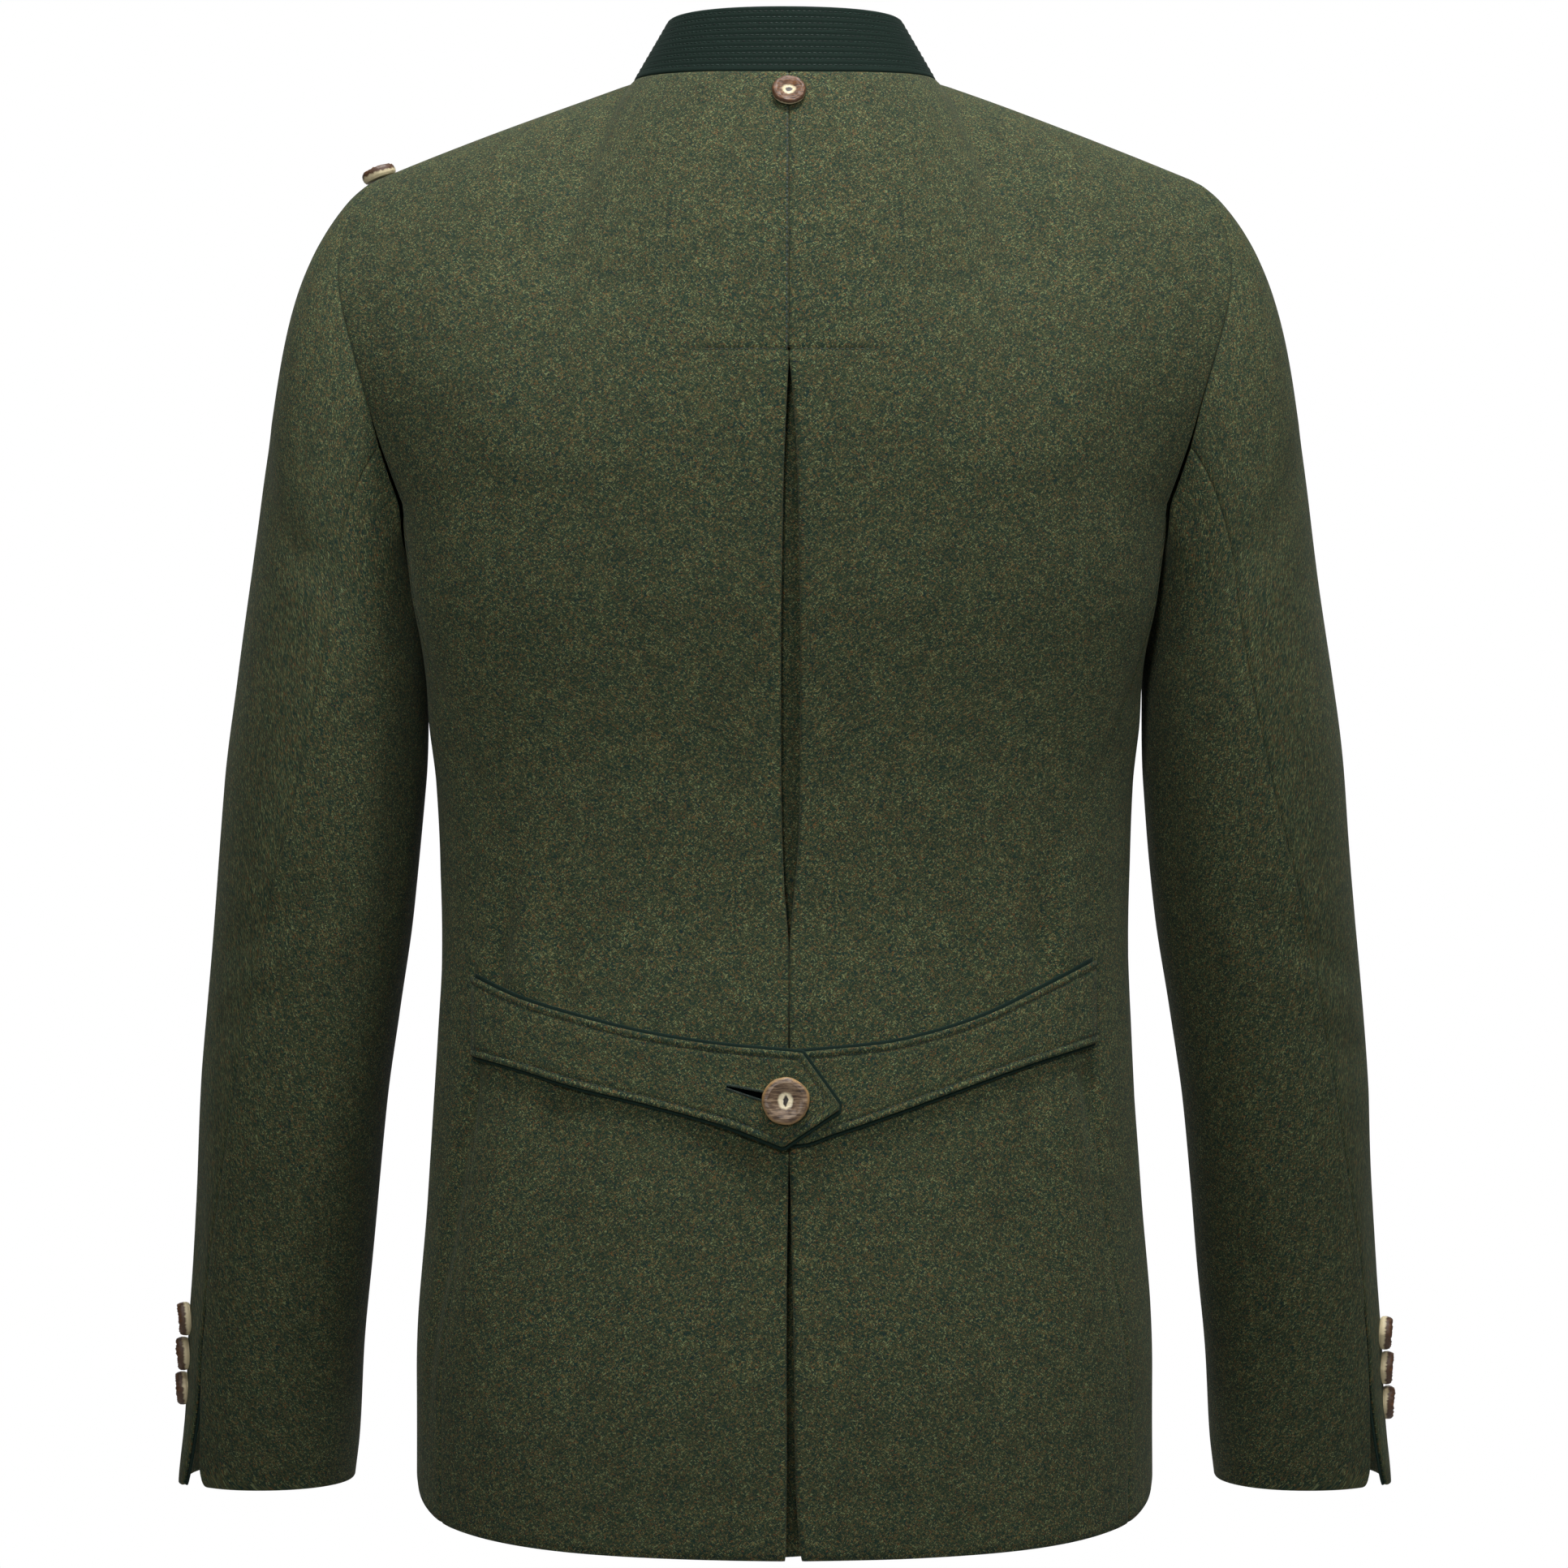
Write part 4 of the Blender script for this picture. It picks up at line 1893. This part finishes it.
lines = [on_face(collar, row[5:-5], away_from_middle(row[5:-5])) for row in channels]
collar_stitching = stitched("collar_stitching", lines, Stitch(2.7, 2.1, 0.55, 0.5), COLLAR_THREAD)

# %% Bar and belt stitching
lines = []
for side in (1, -1):
    near = [p for p in BACK_ROWS[side][FOLDED_ROWS - 1][:-1] if p.x < BAR_ENDS[side]]
    lines.append(on_face(BACKS[side], near, [Vector((0, 1, 0))] * len(near), side))
bar_stitching = stitched("bar_stitching", lines, Stitch(2.4, 1.8, 0.6, 0.5), DARK_THREAD)

centre = [row[-2] for row in BACK_ROWS[1][FOLDED_ROWS:]]
lines = [on_face(BACKS[1], centre, [Vector((0, 1, 0.2)).normalized()] * len(centre), 1)]
back_seam_thread = stitched("back_seam_thread", lines, Stitch(2.4, 2.2, 0.9, 0.4), DARK_THREAD)

lines = []
for side, word in SIDE_WORDS.items():
    rim = strap_rim(side, STITCH_INSET, STRAP_LEVEL)
    half = len(rim) // 2
    for points in [rim] if side > 0 else [rim[:half], rim[half:]]:
        outward = [ring_normal(turn_at_x(p.x, p.z), p.z) for p in points]
        lines.append(on_face(bpy.data.objects[f"strap_{word}"], points, outward, side))
belt_stitching = stitched("belt_stitching", lines, Stitch(2.5, 1.9, 0.55, 0.5), DARK_THREAD)

# %% [markdown]
# ## Buttonholes
#
# A worked buttonhole is a cut with a close row of thread round it, which stands up as a soft cord. The
# cut itself is a narrow dark lens between the two rows.

# %% Buttonholes
HOLE_WIDTH = 3.4
HOLE_POINTS = 14
PURL = Stitch(0.62, 0.6, 1.5, 0.6)  # short and wide: the thread goes over the edge
PURL_OUT = 0.55  # from the cut's edge


def worked_hole(name, obj, start, end, outward, side=1):
    """The dark cut of a buttonhole on a piece. Gives the lines that its thread follows."""
    across = outward.cross(end - start).normalized()
    edges = []
    for way in (1, -1):
        edge = []
        for i in range(HOLE_POINTS + 1):
            share = i / HOLE_POINTS
            opening = HOLE_WIDTH / 2 * mix(0.25, 1, share)  # it is pulled open beside the button
            edge.append(start.lerp(end, share) + across * way * opening)
        edges.append(on_face(obj, edge, [outward] * len(edge), side))
    mesh = bpy.data.meshes.new(name)
    points = [point * MM for edge in edges for point, _ in edge]
    count = len(edges[0])
    faces = [(i + count, i + count + 1, i + 1, i) for i in range(count - 1)]
    mesh.from_pydata(points, [], faces)
    mesh.materials.append(HOLE_SHADE)
    if mesh.polygons[0].normal.dot(edges[0][0][1]) < 0:
        mesh.flip_normals()
    cut = bpy.data.objects.new(name, mesh)
    bpy.context.scene.collection.objects.link(cut)
    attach(cut, "root")
    purls = []
    for edge, way in zip(edges, (1, -1)):
        flip = Vector((side, 1, 1))
        purls.append([(point + across * flip * way * PURL_OUT, away) for point, away in edge])
    return purls


HOLE_SHADE = thread_material("cut_edge_of_loden", [(0.3, "#010202"), (0.7, "#020303")])
hole_shader = HOLE_SHADE.node_tree.nodes["Principled BSDF"]
hole_shader.inputs["Specular IOR Level"].default_value = 0.0
hole_shader.inputs["Sheen Weight"].default_value = 0.0
BELT_HOLE = ((27.5, -499.6), (9.5, -504.3))
HOLE_MIDDLE = (18, -502)
hole_ends = [on_back(1, x, z, STRAP_LEVEL) for x, z in BELT_HOLE]
outward = ring_normal(turn_at_x(*HOLE_MIDDLE), HOLE_MIDDLE[1])
strap_left = bpy.data.objects["strap_left"]
purls = worked_hole("belt_buttonhole", strap_left, *hole_ends, outward)
belt_hole_purl = stitched("belt_buttonhole_thread", purls, PURL, DARK_THREAD)

# %% The fronts' buttonholes and edge
FRONT_BUTTONS = 5
FRONT_BUTTON_TOP = -98
FRONT_BUTTON_PITCH = 104
HOLE_FROM, HOLE_TO = -3.0, 19.5
purls = []
for number in range(FRONT_BUTTONS):
    height = FRONT_BUTTON_TOP - number * FRONT_BUTTON_PITCH
    row = min(FRONT_EDGES[1], key=lambda row: abs(row[-1].z - height))
    ends = []
    for x in (HOLE_FROM, HOLE_TO):
        point = min(row, key=lambda p: abs(p.x - x))
        ends.append(Vector((x, point.y, height)))
    outward = Vector((0, -1, 0))
    purls += worked_hole(f"front_buttonhole_{number + 1}", FRONTS[1], *ends, outward)
front_purl = stitched("front_buttonhole_thread", purls, PURL, DARK_THREAD)

EDGE_STITCH_INSET = 6
line, outward = [], []
for row in FRONT_EDGES[1][:-2]:
    line.append(at_length(row[::-1], EDGE_STITCH_INSET))
    outward.append(Vector((0, -1, 0.3)) if row[-1].z > CHEST_LEVEL else Vector((0, -1, 0)))
lines = [on_face(FRONTS[1], line, outward)]
edge_stitching = stitched("front_edge_stitching", lines, Stitch(3.0, 2.3, 0.55, 0.5), DARK_THREAD)

# %% [markdown]
# ## Horn buttons
#
# Two kinds of button, both cut from antler or horn. One is sawn across the antler: the dense outer ring is
# tan, the porous middle cream, with a dark slot where the thread goes. The other keeps the antler's bark
# as its face: rough and dark brown outside, with cream sides where it was cut. No two are round, so each
# outline and face is roughened with its own noise, and the pattern lies on the button's own coordinates.

# %% Button shapes
BUTTON_PROFILE = [
    (0.0, 0.60),
    (0.28, 0.61),
    (0.42, 0.72),
    (0.60, 0.90),
    (0.76, 1.0),
    (0.90, 0.93),
    (0.97, 0.76),
    (1.0, 0.52),
    (0.98, 0.28),
    (0.90, 0.08),
    (0.70, 0.0),
    (0.0, 0.0),
]
BUTTON_THICKNESS = 0.2  # of its diameter
BUTTON_STEPS = 72
FACE_RINGS = 5  # points between two of the profile's


def button_profile():
    fine = []
    for (r0, h0), (r1, h1) in zip(BUTTON_PROFILE, BUTTON_PROFILE[1:]):
        for i in range(FACE_RINGS):
            t = i / FACE_RINGS
            fine.append((mix(r0, r1, t), mix(h0, h1, t)))
    return fine[1:] + [BUTTON_PROFILE[-1]]


PROFILE = button_profile()


def button_mesh(name, diameter, place, outward, finish, seed, roughness, thick):
    """A button as a closed mesh. Its UV map is in metres across its face, and `level` its height."""
    radius, thickness = diameter / 2, diameter * thick
    turn = outward.to_track_quat("Z", "Y").to_matrix()
    points, flat, level = [], [], []

    def put(x, y, share):
        """One point, roughened: most on the face, not at all on the back."""
        where = Vector((x, y, seed * 7.3))
        swell = 1 + 0.035 * noise.noise(where / (0.55 * radius)) + 0.012 * noise.noise(where / 1.3)
        grain = noise.fractal(where / (0.16 * radius), 1.0, 2.0, 4) * roughness * ease(share * 1.6)
        height = share * thickness + grain
        points.append(place + turn @ Vector((x * swell, y * swell, max(height, 0))))
        flat.append((x, y))
        level.append(share)

    put(0, 0, PROFILE[0][1])
    for r, share in PROFILE[:-1]:
        for step in range(BUTTON_STEPS):
            swing = 2 * math.pi * step / BUTTON_STEPS
            put(radius * r * math.cos(swing), radius * r * math.sin(swing), share)
    put(0, 0, 0)
    faces = [(0, 1 + i, 1 + (i + 1) % BUTTON_STEPS) for i in range(BUTTON_STEPS)]
    rings = len(PROFILE) - 1
    for r in range(rings - 1):
        for i in range(BUTTON_STEPS):
            a, b = 1 + r * BUTTON_STEPS + i, 1 + r * BUTTON_STEPS + (i + 1) % BUTTON_STEPS
            faces.append((a, a + BUTTON_STEPS, b + BUTTON_STEPS, b))
    last = len(points) - 1
    start = 1 + (rings - 1) * BUTTON_STEPS
    faces += [(start + (i + 1) % BUTTON_STEPS, start + i, last) for i in range(BUTTON_STEPS)]
    mesh = bpy.data.meshes.new(name)
    mesh.from_pydata([p * MM for p in points], [], faces)
    mesh.materials.append(finish)
    mesh.shade_smooth()
    layer = mesh.uv_layers.new(name="cloth")
    for loop in mesh.loops:
        x, y = flat[loop.vertex_index]
        layer.data[loop.index].uv = (x * MM, y * MM)
    heights = mesh.attributes.new("level", "FLOAT", "POINT")
    heights.data.foreach_set("value", level)
    obj = bpy.data.objects.new(name, mesh)
    bpy.context.scene.collection.objects.link(obj)
    return obj


print("a button:", len(PROFILE), "rings of", BUTTON_STEPS)

# %% [markdown]
# ## Horn and antler
#
# Both materials share one idea: how far a point is from the button's middle decides what it is made of,
# with that distance disturbed by noise so that no ring is drawn with a compass.

# %% Horn


def button_masks(tree, place, core, slot):
    """The distance from the middle, whether a point is in the oval core, and whether in its slot."""
    warp = add(tree, "ShaderNodeTexNoise", {"Vector": place, "Scale": 1 / (3 * MM), "Detail": 3.0})
    shift = add(
        tree,
        "ShaderNodeVectorMath",
        {0: warp.outputs["Color"], 1: (0.5, 0.5, 0.5)},
        operation="SUBTRACT",
    )
    moved = add(
        tree,
        "ShaderNodeVectorMath",
        {0: shift.outputs[0], 1: (2.2 * MM, 2.2 * MM, 0), 2: place},
        operation="MULTIPLY_ADD",
    )
    masks = []
    for width, height in (core, slot):
        oval = add(
            tree,
            "ShaderNodeVectorMath",
            {0: moved.outputs[0], 1: (2 / (width * MM), 2 / (height * MM), 0)},
            operation="MULTIPLY",
        )
        length = add(tree, "ShaderNodeVectorMath", {0: oval.outputs[0]}, operation="LENGTH")
        inside = add(
            tree,
            "ShaderNodeMapRange",
            {
                "Value": length.outputs["Value"],
                "From Min": 0.82,
                "From Max": 1.12,
                "To Min": 1.0,
                "To Max": 0.0,
            },
        )
        masks.append(inside.outputs[0])
    distance = add(tree, "ShaderNodeVectorMath", {0: moved.outputs[0]}, operation="LENGTH")
    return distance.outputs["Value"], masks[0], masks[1]


def blend_colours(tree, share, first, second):
    mixed = add(tree, "ShaderNodeMix", {"Factor": share}, data_type="RGBA", clamp_factor=True)
    for socket, value in zip((6, 7), (first, second)):
        if isinstance(value, bpy.types.NodeSocket):
            tree.links.new(value, mixed.inputs[socket])
        else:
            mixed.inputs[socket].default_value = colour(value)
    return mixed.outputs[2]


def horn_material(name, radius, body_stops, rim, core_colour, core, slot, level_side):
    finish, tree, shader, place = new_material(name)
    distance, in_core, in_slot = button_masks(tree, place, core, slot)
    streaks = add(
        tree,
        "ShaderNodeMapping",
        {"Vector": place, "Scale": (1 / (7 * MM), 1 / (1.1 * MM), 1), "Rotation": (0, 0, -0.35)},
    )
    fibres = add(
        tree,
        "ShaderNodeTexNoise",
        {"Vector": streaks.outputs[0], "Scale": 1.0, "Detail": 4.0, "Roughness": 0.6},
    )
    body = add(tree, "ShaderNodeValToRGB", {"Fac": fibres.outputs["Fac"]}, stops=body_stops)
    near_rim = add(
        tree,
        "ShaderNodeMapRange",
        {"Value": distance, "From Min": 0.88 * radius * MM, "From Max": 0.97 * radius * MM},
    )
    with_rim = blend_colours(tree, near_rim.outputs[0], body.outputs["Color"], rim)
    with_core = blend_colours(tree, in_core, with_rim, core_colour)
    final = blend_colours(tree, in_slot, with_core, "#1c120b")
    if level_side:
        level = add(tree, "ShaderNodeAttribute", attribute_name="level")
        speckle = add(tree, "ShaderNodeTexNoise", {"Vector": place, "Scale": 1 / (1.2 * MM), "Detail": 3.0})
        ragged = add(
            tree,
            "ShaderNodeMath",
            {0: speckle.outputs["Fac"], 1: 0.35, 2: level.outputs["Fac"]},
            operation="MULTIPLY_ADD",
        )
        on_side = add(
            tree,
            "ShaderNodeMapRange",
            {"Value": ragged.outputs[0], "From Min": 0.62, "From Max": 0.76, "To Min": 1.0, "To Max": 0.0},
        )
        outer = add(
            tree,
            "ShaderNodeMapRange",
            {"Value": distance, "From Min": 0.55 * radius * MM, "From Max": 0.7 * radius * MM},
        )
        both = add(
            tree, "ShaderNodeMath", {0: on_side.outputs[0], 1: outer.outputs[0]}, operation="MULTIPLY"
        )
        final = blend_colours(tree, both.outputs[0], final, level_side)
    tree.links.new(final, shader.inputs["Base Color"])
    bump = add(
        tree,
        "ShaderNodeBump",
        {"Height": fibres.outputs["Fac"], "Strength": 0.5, "Distance": 0.35 * MM},
    )
    tree.links.new(bump.outputs[0], shader.inputs["Normal"])
    return finish, shader


BELT_BUTTON = 22.7
NECK_BUTTON = 17
CUFF_BUTTON = 17.2
SAWN_HORN, horn_shader = horn_material(
    "sawn_stag_horn",
    BELT_BUTTON / 2,
    [(0.3, "#23170f"), (0.44, "#4d3a2a"), (0.56, "#75604a"), (0.74, "#9c8669")],
    "#94754c",
    "#d2c6a6",
    (7.2, 7.8),
    (2.4, 5.4),
    None,
)
horn_shader.inputs["Roughness"].default_value = 0.42  # sanded, and polished only by wear
BARK_ANTLER, antler_shader = horn_material(
    "bark_faced_antler",
    NECK_BUTTON / 2,
    [(0.25, "#2a1b10"), (0.45, "#4c3019"), (0.6, "#6b431f"), (0.8, "#9a6830")],
    "#4a3220",
    "#c9bb98",
    (6.8, 5.6),
    (3.4, 3.0),
    "#cfc19c",
)
antler_shader.inputs["Roughness"].default_value = 0.5
print("horns:", SAWN_HORN.name, BARK_ANTLER.name)

# %% Every button in its place


def node_frame(name):
    """A button node's middle and the direction of its axis, which is its thinnest way."""
    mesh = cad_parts[name].data
    points = np.array([v.co for v in mesh.vertices])
    middle = (points.min(axis=0) + points.max(axis=0)) / 2
    _, _, axes = np.linalg.svd(points - points.mean(axis=0), full_matrices=False)
    axis = Vector(axes[2])
    return Vector(middle) / MM, axis


def placed_button(
    node, name, diameter, outward_hint, finish, seed, roughness, thick=BUTTON_THICKNESS, sunk=0
):
    middle, axis = node_frame(node)
    if axis.dot(outward_hint) < 0:
        axis.negate()
    place = middle - axis * (diameter * BUTTON_THICKNESS / 2 + sunk)
    obj = button_mesh(name, diameter, place, axis, finish, seed, roughness, thick)
    stands_for(obj, node)
    return obj


BACKWARDS, FORWARDS = Vector((0, 1, 0)), Vector((0, -1, 0))
SHOULDER_BUTTON = 17.5
FRONT_BUTTON = 20
placed_button("neck_button", "horn_neck", NECK_BUTTON, BACKWARDS, BARK_ANTLER, 1, 0.3, 0.22)
placed_button("belt_button", "horn_belt", BELT_BUTTON, BACKWARDS, SAWN_HORN, 2, 0.22)
placed_button(
    "shoulder_button",
    "horn_shoulder",
    SHOULDER_BUTTON,
    Vector((0.36, 0, 1)),
    BARK_ANTLER,
    3,
    0.5,
    0.34,
    0.5,
)
for side, word in SIDE_WORDS.items():
    for number in range(1, 4):
        outward = Vector((side, 0, 0))
        node = f"cuff_button_{word}_{number}"
        seed = 10 + number + 5 * side
        name = f"horn_cuff_{word}_{number}"
        placed_button(node, name, CUFF_BUTTON, outward, BARK_ANTLER, seed, 0.7, 0.38, 2.2)
for number in range(1, FRONT_BUTTONS + 1):
    node = f"front_button_{number}"
    placed_button(node, f"horn_front_{number}", FRONT_BUTTON, FORWARDS, SAWN_HORN, 20 + number, 0.22)

# %% [markdown]
# ## What the cloth was cut from
#
# Each cloth piece is declared as a sheet, with the size of its cut in metres: the greatest width and
# length of what shows, and its flat area where the cut isn't a rectangle. Seam and hem allowances are
# folded inside and aren't part of these sizes.

# %% Sheets
Cut = namedtuple("Cut", "piece width length area held rests_on")
CUTS = [
    Cut("back_panel_left", 0.261, 0.769, 0.164, "hung", ["front_panel_left"]),
    Cut("back_panel_right", 0.257, 0.769, 0.160, "hung", ["front_panel_right"]),
    Cut("pleat_strip", 0.074, 0.583, 0.043, "hung", ["back_panel_left", "back_panel_right"]),
    Cut("stand_collar", 0.481, 0.047, 0.016, "hung", ["front_panel_left", "front_panel_right"]),
]
for word in SIDE_WORDS.values():
    CUTS += [
        Cut(f"front_panel_{word}", 0.371, 0.759, 0.217, "hung", ["stand_collar"]),
        Cut(f"sleeve_top_{word}", 0.235, 0.650, 0.121, "hung", [f"front_panel_{word}"]),
        Cut(f"sleeve_under_{word}", 0.165, 0.530, 0.073, "hung", [f"back_panel_{word}"]),
        Cut(f"slit_facing_{word}", 0.023, 0.103, 0.0022, "laid", [f"sleeve_top_{word}"]),
        Cut(f"strap_felt_{word}", 0.200, 0.049, 0.0075, "laid", [f"back_panel_{word}"]),
        Cut(f"strap_{word}", 0.200, 0.046, 0.0071, "laid", [f"strap_felt_{word}"]),
    ]
